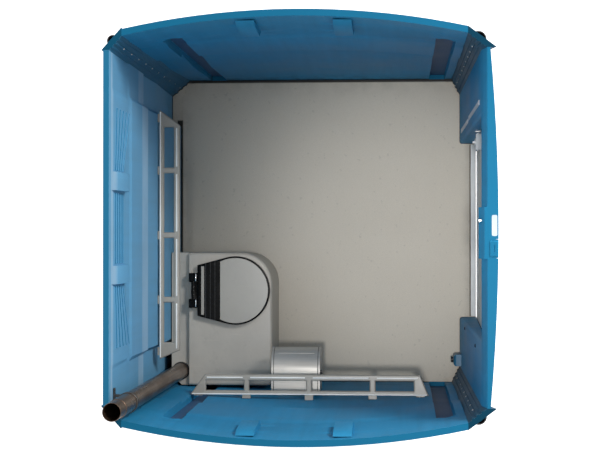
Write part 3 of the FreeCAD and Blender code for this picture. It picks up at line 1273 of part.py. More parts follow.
def roll_spindle():
    """Sleeve that carries both rolls, its stub ends in the arms."""
    y0, y1 = HOLDER_Y
    low = y0 + COVER_WALL + ARM_CLEARANCE
    high = y1 - COVER_WALL - ARM_CLEARANCE
    z = FLOOR + ROLL_Z
    sleeve = rod(SPINDLE_R, V(ROLL_X, low + ARM_THICKNESS, z), V(ROLL_X, high - ARM_THICKNESS, z))
    stub = rod(STUB_R, V(ROLL_X, low, z), V(ROLL_X, high, z))
    return fused([sleeve, stub]).cut(rod(5.0, V(ROLL_X, low - 1, z), V(ROLL_X, high + 1, z)))


def paper_rolls():
    y0, y1 = HOLDER_Y
    low = y0 + COVER_WALL + ARM_CLEARANCE + ARM_THICKNESS + ROLL_GAP
    high = y1 - COVER_WALL - ARM_CLEARANCE - ARM_THICKNESS - ROLL_GAP
    middle = (low + high) / 2
    z = FLOOR + ROLL_Z
    rolls = []
    for a, b in ((low, middle - ROLL_GAP / 2), (middle + ROLL_GAP / 2, high)):
        core = tube(ROLL_CORE_R + ROLL_CORE_WALL, ROLL_CORE_R, V(ROLL_X, a, z), V(ROLL_X, b, z))
        paper = tube(ROLL_R, ROLL_CORE_R + ROLL_CORE_WALL, V(ROLL_X, a, z), V(ROLL_X, b, z))
        rolls.append((core, paper))
    return rolls


def holder_lock():
    """Turn knob in the cover's end, with a tongue inside that swings down behind the catch on the arm."""
    y = HOLDER_Y[0]
    z = FLOOR + LOCK_Z
    inside = y + COVER_WALL + 0.4
    knob = rod(LOCK_R, V(LOCK_X, y - 8.0, z), V(LOCK_X, y - 0.4, z))
    knob = knob.makeFillet(1.5, [e for e in knob.Edges if e.BoundBox.YMax < y - 7.9])
    stem = rod(4.0, V(LOCK_X, y - 1.0, z), V(LOCK_X, inside, z))
    half = TONGUE_WIDTH / 2
    tongue = box(LOCK_X - TONGUE_LENGTH, LOCK_X + half, inside, inside + TONGUE_REACH, z - half, z + half)
    ridge = box(LOCK_X - LOCK_R + 2, LOCK_X + LOCK_R - 2, y - 10.5, y - 7.0, z - 1.5, z + 1.5)
    return fused([knob, stem, tongue, ridge])


def jamb_foot():
    """Rounded boss low on the inner face of the left jamb, and the plug in its end."""
    low = FLOOR + FOOT_LIFT
    middle = low + FOOT_RISE / 2
    near = front_inner_y(low) + FOOT_DEPTH
    back = front_inner_y(low + FOOT_RISE)
    block = box(FOOT_X - FOOT_WIDTH / 2, FOOT_X + FOOT_WIDTH / 2, back, near, low, low + FOOT_RISE)
    block = block.makeFillet(16.0, [e for e in block.Edges if e.BoundBox.YMin > near - 0.1])
    behind = [(back - 60, low), (front_inner_y(low), low), (back, low + FOOT_RISE)]
    jamb = prism([(FOOT_X - FOOT_WIDTH, y, z) for y, z in behind], (2 * FOOT_WIDTH, 0, 0))
    plug = rod(PLUG_R, V(FOOT_X, near, middle), V(FOOT_X, near + PLUG_DEPTH, middle))
    return block.cut(jamb), plug


def jamb_strips():
    """Two bright upright strips on the right jamb's inner face, one above the other."""
    strips = []
    for x, low, high in JAMB_STRIPS:
        rings = []
        for z in (FLOOR + low, FLOOR + high):
            y = front_inner_y(z)
            far_x, near_y = x + JAMB_STRIP_WIDTH, y + JAMB_STRIP_THICKNESS
            rings.append(polygon([(x, y, z), (far_x, y, z), (far_x, near_y, z), (x, near_y, z)]))
        strips.append(loft(rings))
    return Part.makeCompound(strips)


def jamb_fixings():
    """Bolt heads on the left jamb's inner face."""
    heads = []
    for x, z in FIXING_SPOTS:
        y = front_inner_y(z) + RIVET_SEAT
        heads.append(screw_head(V(x, y, z), V(0, 1, 0), FIXING_R, FIXING_HEAD))
    return Part.makeCompound(heads)


def foot_screws():
    """Screw heads along the foot flange outside each side wall."""
    heads = []
    count = 7
    for i in range(count):
        y = -SIDE_FRONT_END + 120 + i * (POST_START + SIDE_FRONT_END - 240) / (count - 1)
        if min(abs(y - CHANNEL_REAR), abs(y - CHANNEL_FRONT)) < CHANNEL_WIDTH / 2 + 12:
            continue
        for side in (-1, 1):
            x = side * (HALF_WIDTH_FOOT + SKIN + (FOOT_FLANGE - SKIN) / 2)
            heads.append(screw_head(V(x, y, FOOT + SKIN), V(0, 0, 1), 3.0, 2.0))
    return Part.makeCompound(heads)


def make_shell():
    save("floor_pan", floor_pan())
    save("threshold_strip", threshold_strip())
    wall = side_wall()
    save("side_wall_right", wall)
    save("side_wall_left", mirrored_x(wall))
    save("rear_wall", rear_wall())
    left, right = front_panels()
    save("front_panel_left", left)
    save("front_panel_right", right)
    save("header_bolt", header_bolt())
    save("header_cap", header_cap())
    save("header_pane", header_pane(0.2, PANE_SINK - 0.02, -0.5))
    for rear, name in ((True, "rear"), (False, "front")):
        post, cover = corner_post(rear), corner_cover(rear)
        save("corner_post_" + name + "_right", post)
        save("corner_post_" + name + "_left", mirrored_x(post))
        save("corner_cover_" + name + "_right", cover)
        save("corner_cover_" + name + "_left", mirrored_x(cover))
    save("corner_rivets", corner_rivets())
    foot, plug = jamb_foot()
    save("jamb_foot", foot)
    save("jamb_foot_plug", plug)
    save("jamb_strips", jamb_strips())
    save("jamb_fixings", jamb_fixings())
    save("foot_screws", foot_screws())


def make_door():
    save("door_leaf", on_door(door_leaf()))
    save("door_seals", on_door(door_seals()))
    jamb, leaf, pins = hinges()
    save("hinge_jamb_straps", on_door(jamb))
    save("hinge_leaf_straps", on_door(leaf))
    save("hinge_pins", on_door(pins))
    fixed, moving = hinge_screws()
    save("hinge_jamb_screws", on_door(fixed))
    save("hinge_leaf_screws", on_door(moving))
    save("latch_case", on_door(latch_case()))
    save("latch_bolt", on_door(latch_bolt()))
    spindle, knob, indicator = latch_turn()
    save("latch_spindle", on_door(spindle))
    save("latch_knob", on_door(knob))
    save("latch_indicator", on_door(indicator))
    save("latch_keeper", on_door(latch_keeper()))
    save("pull_handle", on_door(pull_handle()))


def make_toilet():
    save("waste_tank", waste_tank())
    save("drop_chute", drop_chute())
    save("seat_ring", seat_ring())
    save("seat_bumpers", seat_bumpers())
    save("seat_hinge_blocks", hinge_blocks())
    save("lid_pin", lid_pin())
    save("lid", lid())
    save("lid_panel", panel_shape(0.0, LID_TOP - PANEL_THICKNESS, LID_TOP - 0.5))
    save("lid_bar", bar_slot(0.0))
    save("vent_pipe", vent_pipe())
    save("pipe_gasket", pipe_gasket())
    save("pipe_clip", pipe_clip())


def make_fittings():
    rail, rear_spots = rear_rail()
    save("grab_rail_rear", rail)
    rail, side_spots = side_rail()
    save("grab_rail_side", rail)
    save("rail_bolts", rail_bolts(rear_spots, side_spots))
    save("holder_plate", holder_plate())
    save("holder_cover", holder_cover())
    save("holder_pins", holder_pin())
    save("roll_spindle", roll_spindle())
    for side, (core, paper) in zip(("front", "rear"), paper_rolls()):
        save("paper_roll_" + side, Part.makeCompound([core, paper]))
    save("holder_lock", holder_lock())


os.makedirs("parts", exist_ok=True)
make_shell()
make_door()
make_toilet()
make_fittings()
print("pieces", len(SAVED), "shift", round(SHIFT_Y, 3))
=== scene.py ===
"""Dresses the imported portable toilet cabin: softened mouldings, fittings, finishes, stage and camera."""
import json
import math

import bpy
from bpy.props import FloatProperty, FloatVectorProperty, PointerProperty
from mathutils import Matrix, Vector

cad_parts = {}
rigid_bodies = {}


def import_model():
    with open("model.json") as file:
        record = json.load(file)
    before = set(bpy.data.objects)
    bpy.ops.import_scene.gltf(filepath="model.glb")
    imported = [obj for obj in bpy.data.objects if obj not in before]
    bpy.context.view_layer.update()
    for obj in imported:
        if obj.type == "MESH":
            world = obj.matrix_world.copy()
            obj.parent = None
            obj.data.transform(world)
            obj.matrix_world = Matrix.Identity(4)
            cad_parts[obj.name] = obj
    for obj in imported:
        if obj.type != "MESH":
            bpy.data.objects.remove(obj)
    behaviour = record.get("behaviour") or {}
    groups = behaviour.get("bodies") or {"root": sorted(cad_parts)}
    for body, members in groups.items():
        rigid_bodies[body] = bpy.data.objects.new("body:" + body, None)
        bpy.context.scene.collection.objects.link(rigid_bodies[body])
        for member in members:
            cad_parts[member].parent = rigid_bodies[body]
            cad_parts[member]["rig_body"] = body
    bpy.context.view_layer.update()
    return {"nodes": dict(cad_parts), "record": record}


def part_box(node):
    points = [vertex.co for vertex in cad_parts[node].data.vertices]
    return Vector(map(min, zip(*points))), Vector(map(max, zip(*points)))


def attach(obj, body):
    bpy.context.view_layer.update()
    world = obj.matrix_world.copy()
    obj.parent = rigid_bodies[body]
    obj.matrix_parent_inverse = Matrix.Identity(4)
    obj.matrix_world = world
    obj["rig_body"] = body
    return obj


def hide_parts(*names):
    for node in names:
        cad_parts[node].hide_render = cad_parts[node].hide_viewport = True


bl_info = {
    "name": "Portable toilet cabin",
    "version": (1, 0, 0),
    "blender": (4, 5, 0),
    "location": "View3D > Sidebar > Cabin",
    "description": "Dresses the cabin's solids with softened mouldings, fittings and finishes",
    "category": "Object",
}

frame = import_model()


def tint(name, description, default):
    """A colour property."""
    return FloatVectorProperty(
        name=name, description=description, default=default, subtype="COLOR", size=3, min=0.0, max=1.0
    )


def length(name, description, default):
    """A distance property in metres."""
    return FloatProperty(
        name=name, description=description, default=default, min=0.0, unit="LENGTH", precision=4
    )


def level(name, description, default):
    """A plain amount."""
    return FloatProperty(name=name, description=description, default=default, min=0.0, unit="NONE")


# Settings


class ShellSettings(bpy.types.PropertyGroup):
    """Walls, posts and corner strips."""

    blue: tint("Wall blue", "Moulded polyethylene of the walls", (0.018, 0.250, 0.470))
    black: tint("Strip black", "Corner strips, caps and plugs", (0.012, 0.012, 0.014))
    edge: length("Edge radius", "Rounding of the moulded edges", 0.0028)


class FloorSettings(bpy.types.PropertyGroup):
    """The floor pan."""

    grey: tint("Floor grey", "Moulded floor", (0.585, 0.530, 0.445))
    edge: length("Edge radius", "Rounding of the pan's edges", 0.004)


class DoorSettings(bpy.types.PropertyGroup):
    """Door leaf, latch and handle."""

    white: tint("Door white", "Moulded leaf", (0.66, 0.67, 0.67))
    edge: length("Edge radius", "Rounding of the leaf's edges", 0.003)


class ToiletSettings(bpy.types.PropertyGroup):
    """Tank, seat, lid and vent pipe."""

    tank: tint("Tank grey", "Moulded waste tank", (0.51, 0.468, 0.405))
    black: tint("Seat black", "Seat ring, lid and hinge", (0.003, 0.003, 0.003))
    panel: tint("Lid panel", "Flat field of the lid", (0.375, 0.350, 0.305))
    pipe: tint("Pipe", "Vent pipe", (0.155, 0.097, 0.064))


class FittingSettings(bpy.types.PropertyGroup):
    """Grab rails and the paper holder."""

    rail: tint("Rail grey", "Bars of the grab rails", (0.345, 0.318, 0.275))
    # The bead's pale colour is a painted highlight.
    bead: length("Bead radius", "Polished bead along the rails' bars", 0.0036)
    cover: tint("Holder grey", "Cover of the paper holder", (0.48, 0.46, 0.425))


class StageSettings(bpy.types.PropertyGroup):
    """Floor under the cabin, lamps and camera."""

    floor: length("Floor size", "Side of the pale floor", 40.0)
    sky: level("Sky", "Strength of the even light all round", 0.84)
    key: level("Key", "Power of the large lamp above the front", 310.0)
    soft: level("Soft", "Power of the wide lamp overhead", 60.0)
    pool: level("Pool", "Power of the lamp over the doorway's floor", 3800.0)
    lens: level("Lens", "Focal length in millimetres", 92.14)


# Shader arithmetic


class Link:
    """An output socket that can be used in arithmetic."""

    def __init__(self, shader, socket):
        self.shader = shader
        self.socket = socket

    def _math(self, operation, first, second):
        return self.shader.node("ShaderNodeMath", {"operation": operation}, {0: first, 1: second})

    def __add__(self, other):
        return self._math("ADD", self, other)

    def __radd__(self, other):
        return self._math("ADD", other, self)

    def __sub__(self, other):
        return self._math("SUBTRACT", self, other)

    def __rsub__(self, other):
        return self._math("SUBTRACT", other, self)

    def __mul__(self, other):
        return self._math("MULTIPLY", self, other)

    def __pow__(self, other):
        return self._math("POWER", self, other)


class Shader:
    """Node tree of one finish."""

    def __init__(self, name):
        self.material = bpy.data.materials.new(name)
        self.material.use_nodes = True
        self.tree = self.material.node_tree
        self.tree.nodes.clear()

    def node(self, kind, settings=None, inputs=None, output=0):
        """Makes a node, sets it up, fills or links its sockets and returns one output."""
        made = self.tree.nodes.new(kind)
        for key, value in (settings or {}).items():
            setattr(made, key, value)
        for key, value in (inputs or {}).items():
            if isinstance(value, Link):
                self.tree.links.new(value.socket, made.inputs[key])
            else:
                made.inputs[key].default_value = value
        return Link(self, made.outputs[output])

    def place(self):
        """Object coordinates."""
        return self.node("ShaderNodeTexCoord", output="Object")

    def stretched(self, x, y, z):
        """Object coordinates scaled by axis, for streaks."""
        return self.node("ShaderNodeMapping", {}, {"Vector": self.place(), "Scale": (x, y, z)})

    def part(self, name, vector=None):
        """One component of a vector, by default of the place."""
        return self.node("ShaderNodeSeparateXYZ", {}, {"Vector": vector or self.place()}, name)

    def noise(self, scale, detail=3.0, rough=0.5, vector=None, twist=0.0):
        """Cloud pattern."""
        return self.node(
            "ShaderNodeTexNoise", {},
            {"Vector": vector or self.place(), "Scale": scale, "Detail": detail, "Roughness": rough,
             "Distortion": twist},
        )

    def span(self, value, low, high, start=0.0, end=1.0):
        """Value rescaled smoothly from one range to another, held at its ends."""
        return self.node(
            "ShaderNodeMapRange", {"interpolation_type": "SMOOTHSTEP"},
            {"Value": value, "From Min": low, "From Max": high, "To Min": start, "To Max": end},
        )

    def mix(self, factor, first, second):
        """Colour mix; a plain colour is three numbers."""
        ends = [c if isinstance(c, Link) else (*c, 1.0) for c in (first, second)]
        return self.node(
            "ShaderNodeMix", {"data_type": "RGBA"}, {0: factor, 6: ends[0], 7: ends[1]}, 2
        )

    def size_of(self, value):
        """Absolute value."""
        return self.node("ShaderNodeMath", {"operation": "ABSOLUTE"}, {0: value})

    def larger(self, first, second):
        """The larger of two values."""
        return self.node("ShaderNodeMath", {"operation": "MAXIMUM"}, {0: first, 1: second})

    def band(self, value, low, high, fade_in, fade_out=None):
        """One between two limits and zero outside, with a soft step of a width inside each limit."""
        rise = self.span(value, low, low + fade_in)
        return rise * self.span(value, high - (fade_out or fade_in), high, 1.0, 0.0)

    def facing(self):
        """Surface normal."""
        return self.node("ShaderNodeNewGeometry", output="Normal")

    def cells(self, scale, feature="F1", output=0):
        """Cell pattern."""
        return self.node(
            "ShaderNodeTexVoronoi", {"feature": feature}, {"Vector": self.place(), "Scale": scale}, output
        )

    def bump(self, height, distance, strength=1.0, normal=None):
        """Fine relief in the shading, over an earlier normal if one is given."""
        inputs = {"Height": height, "Distance": distance, "Strength": strength}
        if normal:
            inputs["Normal"] = normal
        return self.node("ShaderNodeBump", {}, inputs)

    def output(self, shown):
        """Joins a shader to the output and returns the material."""
        end = self.tree.nodes.new("ShaderNodeOutputMaterial")
        self.tree.links.new(shown.socket, end.inputs["Surface"])
        return self.material

    def surface(self, **inputs):
        """The principled surface, joined to the output."""
        named = {key.replace("_", " "): value for key, value in inputs.items()}
        return self.output(self.node("ShaderNodeBsdfPrincipled", {}, named))


def shade(colour, factor):
    """A colour made lighter or darker."""
    return tuple(min(1.0, channel * factor) for channel in colour)


# Finishes


WORN_AND_SHEEN_BLUE = (0.42, 0.58, 0.69)
SCUFF_BLUE = (0.34, 0.50, 0.62)
SHEEN_BLUE = (0.50, 0.66, 0.78)
GROOVE_SHADE_BLUE = (0.055, 0.085, 0.165)
FOOT_SHADOW_BLACK = (0.010, 0.011, 0.012)
SOIL = (0.10, 0.095, 0.085)
SMEAR = (0.33, 0.30, 0.25)
SPOT = (0.13, 0.12, 0.10)
JOINT_SHADOW_BLACK = (0.012, 0.012, 0.011)
PACKED_DIRT = (0.105, 0.070, 0.045)
SILL_DARK, SILL_PALE = (0.80, 0.80, 0.78), (0.90, 0.90, 0.89)
DUST = (0.35, 0.34, 0.32)
WIPED_GREY = (0.18, 0.18, 0.18)
STEP_HIGHLIGHT_GREY = (0.06, 0.06, 0.06)
WORN_GREY = (0.25, 0.25, 0.24)
GROOVE_SHADOW_DARK = (0.05, 0.048, 0.045)
PIPE_BLOOM = (0.22, 0.20, 0.18)
RUBBER_BLOOM = (0.06, 0.058, 0.055)
PAPER_DARK, PAPER_PALE = (0.76, 0.75, 0.71), (0.86, 0.85, 0.81)
PAPER_LAYER = (0.50, 0.49, 0.45)
CARD = (0.30, 0.20, 0.12)
STEEL = (0.62, 0.62, 0.60)
BOLT_STEEL = (0.66, 0.66, 0.64)
CLIP_STEEL = (0.115, 0.105, 0.100)
FIXING_ZINC = (0.60, 0.60, 0.58)
HINGE_ZINC = (0.57, 0.57, 0.56)
HOLDER_ZINC = (0.52, 0.52, 0.51)
CHROME = (0.85, 0.85, 0.84)
JAMB_PALE = (0.60, 0.64, 0.68)
PANE_PALE = (0.20, 0.26, 0.31)
# Near-white of the rails' beads: painted highlight.
BEAD_HIGHLIGHT_PALE = (0.95, 0.935, 0.89)
FREE_GREEN, TAKEN_RED = (0.03, 0.30, 0.08), (0.50, 0.03, 0.02)

# The rear wall's lighter blue is painted light.
REAR_WALL_PAINTED_LIGHT = 1.16              # tones of the shell's pieces against the wall's blue
# The posts' darker blues, darkest on the front posts, are painted shade.
FRONT_POST_PAINTED_SHADE = 0.30
REAR_POST_PAINTED_SHADE = 0.55
FOOT_SHADE = 0.45

WALL_FOOT = (0.045, 0.085)          # heights between which the painted shadow line at the foot of a wall's inner face ends
WALL_SOIL = (0.04, 0.40)            # heights between which the soil thins out
GROOVE_TOP = (1.79, 1.82)           # heights between which the painted shade in the grooves ends
SIDE_JOINT = (0.804, 0.840)         # X of the painted shadow line between the floor and the right wall
REAR_JOINT = (0.788, 0.824)         # Y of the painted shadow line between the floor and the rear wall
JOINT_REACH = (0.600, 0.610)        # distance from the middle at which the rear painted shadow line ends
STEP_LINE = (0.0008, 0.0026)        # distance from a step of the lid over which its painted highlight line fades
RIM_GROOVE = (0.0135, 0.0086)       # distances of the groove's sides from the end of the holder's cover


def moulded_wall(name, blue, fade_and_sheen=0.06, grooves=(), sheen=()):
    """Blue moulded polyethylene: cloudy tone, upright runs, fine orange peel, scuffs and soil at the foot, a
    pale fade that is wear and, where it is strong, painted sheen, a painted shadow line along the foot and
    painted shade on faces turned up.

    The grooves are upright recesses, each from one Y to another, that hold a painted shade. The sheen is a
    painted highlight in level bands, each from one height to another, on the inner face.
    """
    s = Shader(name)
    cloud = s.noise(1.7, 4.0, 0.55)
    runs = s.noise(1.0, 3.0, 0.6, s.stretched(26.0, 26.0, 1.1))
    base = s.mix(s.span(cloud * 0.65 + runs * 0.35, 0.34, 0.66), shade(blue, 0.88), shade(blue, 1.10))
    # Pale cloudy fade: a little wear on most walls, and where it is strong, as on the rear wall, a painted
    # sheen.
    base = s.mix(s.span(s.noise(0.7, 2.0, 0.5), 0.40, 0.70, fade_and_sheen * 0.7, fade_and_sheen), base, WORN_AND_SHEEN_BLUE)
    scratch = s.noise(1.0, 2.0, 0.5, s.stretched(7.0, 9.0, 140.0), 0.4)
    scuff = s.span(scratch, 0.665, 0.70, 0.0, 0.30) * s.span(s.noise(3.1, 2.0), 0.48, 0.62)
    base = s.mix(scuff, base, SCUFF_BLUE)
    height = s.part("Z")
    soil = s.span(height, *WALL_SOIL, 1.0, 0.0) * s.span(s.noise(14.0, 6.0, 0.7), 0.38, 0.72) * 0.5
    base = s.mix(soil, base, SOIL)
    facing = s.facing()
    outward = s.node("ShaderNodeVectorMath", {"operation": "DOT_PRODUCT"}, {0: facing, 1: s.place()}, "Value")
    inside = s.span(outward, -0.20, 0.0, 1.0, 0.0)
    # Near-black band along the foot of the inner face: a painted shadow line where the wall meets the floor.
    base = s.mix(s.span(height, *WALL_FOOT, 0.9, 0.0) * inside, base, FOOT_SHADOW_BLACK)
    # Faces turned up, such as the rims, are painted darker: painted shade.
    base = s.mix(s.span(s.part("Z", facing), 0.70, 0.95, 0.0, 0.92), base, shade(blue, 0.46))
    # Darker blue in the grooves: painted shade.
    for near, far in grooves:
        band = s.band(s.part("Y"), near, far, 0.004)
        base = s.mix(band * inside * s.span(height, *GROOVE_TOP, 0.8, 0.0), base, GROOVE_SHADE_BLUE)
    # Pale level bands: painted sheen on the inner face.
    for low, high in sheen:
        band = s.band(height, low, high, 0.04, 0.02)
        base = s.mix(band * inside * s.span(cloud, 0.30, 0.60, 0.22, 0.50), base, SHEEN_BLUE)
    return s.surface(
        Base_Color=base, Roughness=s.span(cloud, 0.3, 0.7, 0.34, 0.46) + scuff * 0.25 + soil * 0.3,
        Normal=s.bump(s.noise(330.0, 2.0, 0.5), 0.00035, 0.6, s.bump(s.noise(5.5, 2.0, 0.4), 0.006, 0.35)),
        IOR=1.45, Specular_IOR_Level=0.015,
    )


def grained_floor(name, grey):
    """Grey moulded floor: speckled grain, traffic marks, soil and painted shade near the walls, painted
    shadow lines at their feet.
    """
    s = Shader(name)
    patch = s.noise(2.3, 5.0, 0.6)
    smear = s.noise(1.0, 4.0, 0.6, s.stretched(2.6, 9.0, 2.6), 0.6)
    base = s.mix(s.span(s.noise(620.0, 2.0, 0.7), 0.30, 0.70), shade(grey, 0.90), shade(grey, 1.10))
    base = s.mix(s.span(patch, 0.42, 0.74, 0.0, 0.03), base, shade(grey, 0.72))
    base = s.mix(s.span(smear, 0.52, 0.72, 0.0, 0.03), base, SMEAR)
    spot = s.span(s.noise(46.0, 2.0, 0.4), 0.70, 0.735, 0.0, 0.16)
    base = s.mix(spot, base, SPOT)
    reach = s.node("ShaderNodeVectorMath", {"operation": "ABSOLUTE"}, {0: s.place()})
    edge = s.larger(s.part("X", reach), s.part("Y", reach))
    # Darker towards the walls: partly soil, partly painted shade.
    soil = s.span(edge, 0.70, 0.82, 0.0, 0.35) * s.span(s.noise(9.0, 5.0, 0.65), 0.30, 0.75)
    base = s.mix(soil, base, shade(grey, 0.42))
    # Near-black lines along the feet of the right and rear walls: painted shadow lines.
    rear = s.band(s.part("Y"), *REAR_JOINT, 0.006, 0.004) * s.span(s.part("X", reach), *JOINT_REACH, 1.0, 0.0)
    base = s.mix(s.band(s.part("X"), *SIDE_JOINT, 0.008, 0.004) + rear, base, JOINT_SHADOW_BLACK)
    return s.surface(
        Base_Color=base, Roughness=s.span(patch, 0.3, 0.7, 0.56, 0.62) - spot * 0.4,
        Normal=s.bump(s.cells(260.0, "SMOOTH_F1"), 0.0005, 0.45, s.bump(patch, 0.001, 0.1)),
        Specular_IOR_Level=0.35,
    )


def sill_strip(name, inner):
    """Pale sill edging with brown dirt packed along its inner side, which lies at one Y."""
    s = Shader(name)
    worn = s.noise(1.0, 4.0, 0.6, s.stretched(9.0, 60.0, 9.0))
    base = s.mix(s.span(worn, 0.3, 0.7), SILL_DARK, SILL_PALE)
    dirt = s.span(s.part("Y") + (worn - 0.5) * 0.004, inner - 0.003, inner)
    base = s.mix(dirt, base, PACKED_DIRT)
    return s.surface(Base_Color=base, Roughness=0.42 + dirt * 0.4, Normal=s.bump(worn, 0.0002, 0.4))


def moulded_plain(name, colour, rough=(0.36, 0.50), grain=300.0, depth=0.00025, soil=0.2):
    """Plain moulded plastic with uneven tone, fine grain and a little handling soil."""
    s = Shader(name)
    cloud = s.noise(4.2, 4.0, 0.55)
    base = s.mix(s.span(cloud, 0.3, 0.7), shade(colour, 0.90), shade(colour, 1.08))
    base = s.mix(s.span(s.noise(17.0, 6.0, 0.7), 0.52, 0.74, 0.0, soil), base, shade(colour, 0.5))
    hairline = s.span(s.noise(1.0, 2.0, 0.5, s.stretched(160.0, 6.0, 9.0), 0.3), 0.68, 0.71, 0.0, 0.18)
    base = s.mix(hairline, base, shade(colour, 1.35))
    return s.surface(
        Base_Color=base, Roughness=s.span(cloud, 0.3, 0.7, *rough) + hairline * 0.3,
        Normal=s.bump(s.noise(grain, 2.0, 0.5), depth, 0.6), IOR=1.5,
    )


def polished_black(name, colour, steps=(), rough=(0.10, 0.22)):
    """Glossy black moulding with wiping marks, dust, and a painted highlight line along each step, given by
    its Y.
    """
    s = Shader(name)
    dust = s.span(s.noise(38.0, 6.0, 0.75), 0.50, 0.80, 0.0, 0.015)
    base = s.mix(dust, colour, DUST)
    scratch = s.span(s.noise(1.0, 3.0, 0.6, s.stretched(9.0, 70.0, 9.0), 0.8), 0.66, 0.70, 0.0, 0.06)
    base = s.mix(scratch, base, WIPED_GREY)
    # Grey line along each step: painted highlight.
    for place in steps:
        base = s.mix(s.span(s.size_of(s.part("Y") - place), *STEP_LINE, 0.8, 0.0), base, STEP_HIGHLIGHT_GREY)
    return s.surface(
        Base_Color=base,
        Roughness=s.span(s.noise(6.0, 4.0, 0.6), 0.3, 0.7, *rough) + scratch * 0.8 + dust * 1.5,
        Normal=s.bump(s.noise(240.0, 2.0, 0.5), 0.0001, 0.4, s.bump(s.noise(13.0, 2.0), 0.002, 0.15)),
        Coat_Weight=0.03, Specular_IOR_Level=0.10,
    )


def plated(name, colour, rough=(0.24, 0.42), grain=(60.0, 60.0, 60.0), tarnish=0.35):
    """Plated metal: mottled bright grain and duller patches."""
    s = Shader(name)
    cell = s.part("X", s.cells(110.0, output="Color"))
    brushed = s.noise(1.0, 3.0, 0.6, s.stretched(*grain))
    base = s.mix(s.span(cell * 0.4 + brushed * 0.6, 0.25, 0.75), shade(colour, 0.86), shade(colour, 1.12))
    dull = s.span(s.noise(24.0, 6.0, 0.7), 0.50, 0.78, 0.0, tarnish)
    base = s.mix(dull, base, shade(colour, 0.45))
    return s.surface(
        Base_Color=base, Roughness=s.span(brushed, 0.3, 0.7, *rough) + dull * 0.3,
        Metallic=1.0 - dull * 0.3, Normal=s.bump(brushed, 0.0001, 0.5),
    )


def brushed_cover(name, colour, middle, half):
    """Satin metal brushed along the cover, mottled near its top, with a painted shadow line in the grooves
    inside its rims.
    """
    s = Shader(name)
    lines = s.noise(1.0, 3.0, 0.6, s.stretched(240.0, 5.0, 240.0))
    cloud = s.noise(24.0, 5.0, 0.65)
    base = s.mix(s.span(lines, 0.30, 0.70), shade(colour, 0.92), shade(colour, 1.06))
    base = s.mix(s.span(cloud, 0.50, 0.75, 0.0, 0.12), base, shade(colour, 0.62))
    near, far = (half - distance for distance in RIM_GROOVE)
    # Dark line inside each rim: painted shadow.
    groove = s.band(s.size_of(s.part("Y") - middle), near, far, 0.0015, 0.0012)
    base = s.mix(groove * 0.9, base, GROOVE_SHADOW_DARK)
    return s.surface(
        Base_Color=base, Metallic=0.36 - groove * 0.3,
        Roughness=s.span(cloud, 0.3, 0.7, 0.34, 0.42) + groove * 0.4, Normal=s.bump(lines, 0.00012, 0.5),
    )


def drawn_pipe(name, colour):
    """Brown-grey metallic pipe with lengthwise drawing lines and stains from the top down."""
    s = Shader(name)
    lines = s.noise(1.0, 4.0, 0.65, s.stretched(190.0, 190.0, 1.3))
    cloud = s.noise(3.5, 4.0, 0.6, s.stretched(3.0, 3.0, 1.0))
    base = s.mix(s.span(lines, 0.30, 0.70), shade(colour, 0.72), shade(colour, 1.35))
    base = s.mix(s.span(cloud, 0.40, 0.75, 0.0, 0.5), base, shade(colour, 0.6))
    bloom = s.span(s.noise(30.0, 6.0, 0.7), 0.55, 0.80, 0.0, 0.30)
    base = s.mix(bloom, base, PIPE_BLOOM)
    return s.surface(
        Base_Color=base, Metallic=0.75 - bloom * 0.8,
        Roughness=s.span(cloud, 0.3, 0.7, 0.26, 0.40) + bloom * 0.3, Normal=s.bump(lines, 0.0002, 0.5),
    )


def soft_rubber(name, colour):
    """Dull rubber with a dusty bloom."""
    s = Shader(name)
    bloom = s.span(s.noise(26.0, 6.0, 0.7), 0.40, 0.75)
    return s.surface(
        Base_Color=s.mix(bloom, colour, RUBBER_BLOOM), Roughness=0.72 + bloom * 0.15,
        Normal=s.bump(s.noise(420.0, 2.0), 0.0003, 0.6), Specular_IOR_Level=0.35,
    )


def rolled_paper(name, axis_x, axis_z, core):
    """Two-ply paper on a cardboard core: ring lines on the ends, small quilting on the outside."""
    s = Shader(name)
    dx = s.part("X") - axis_x
    dz = s.part("Z") - axis_z
    radius = (dx * dx + dz * dz) ** 0.5
    rings = s.node("ShaderNodeMath", {"operation": "SINE"}, {0: radius * 9000.0})
    face = s.part("Y", s.facing())
    flat_end = s.span(face * face, 0.5, 0.9)
    quilt = s.cells(190.0, "SMOOTH_F1")
    base = s.mix(s.span(s.noise(30.0, 4.0, 0.6), 0.3, 0.7), PAPER_DARK, PAPER_PALE)
    base = s.mix(flat_end * s.span(rings, -1.0, 1.0, 0.30, 0.0), base, PAPER_LAYER)
    base = s.mix(s.span(radius, core, core + 0.0015, 1.0, 0.0), base, CARD)
    relief = quilt * (1.0 - flat_end) + rings * flat_end * 0.2
    return s.surface(
        Base_Color=base, Roughness=0.88, Normal=s.bump(relief, 0.0007, 0.6), Specular_IOR_Level=0.2,
    )


def indicator_disc(name, axis_x, free, taken):
    """Round latch indicator, half one colour and half the other, that turns with the latch."""
    s = Shader(name)
    base = s.mix(s.span(s.part("X") - axis_x, -0.0006, 0.0006), free, taken)
    wear = s.span(s.noise(60.0, 5.0, 0.7), 0.52, 0.75, 0.0, 0.25)
    base = s.mix(wear, base, WORN_GREY)
    return s.surface(
        Base_Color=base, Roughness=0.30 + wear * 0.6, Normal=s.bump(s.noise(300.0), 0.0002, 0.4), IOR=1.5,
    )


# Mesh helpers


WELD = 0.00002
SHARP_ANGLE = 32.0
SMOOTH_ANGLE = 40.0
BAR_SIDES = 24


def deselect():
    """Leaves edit mode and clears the selection."""
    if bpy.context.object and bpy.context.object.mode != "OBJECT":
        bpy.ops.object.mode_set(mode="OBJECT")
    bpy.ops.object.select_all(action="DESELECT")


def activate(piece):
    """Makes one piece the only selected and active one."""
    deselect()
    piece.select_set(True)
    bpy.context.view_layer.objects.active = piece


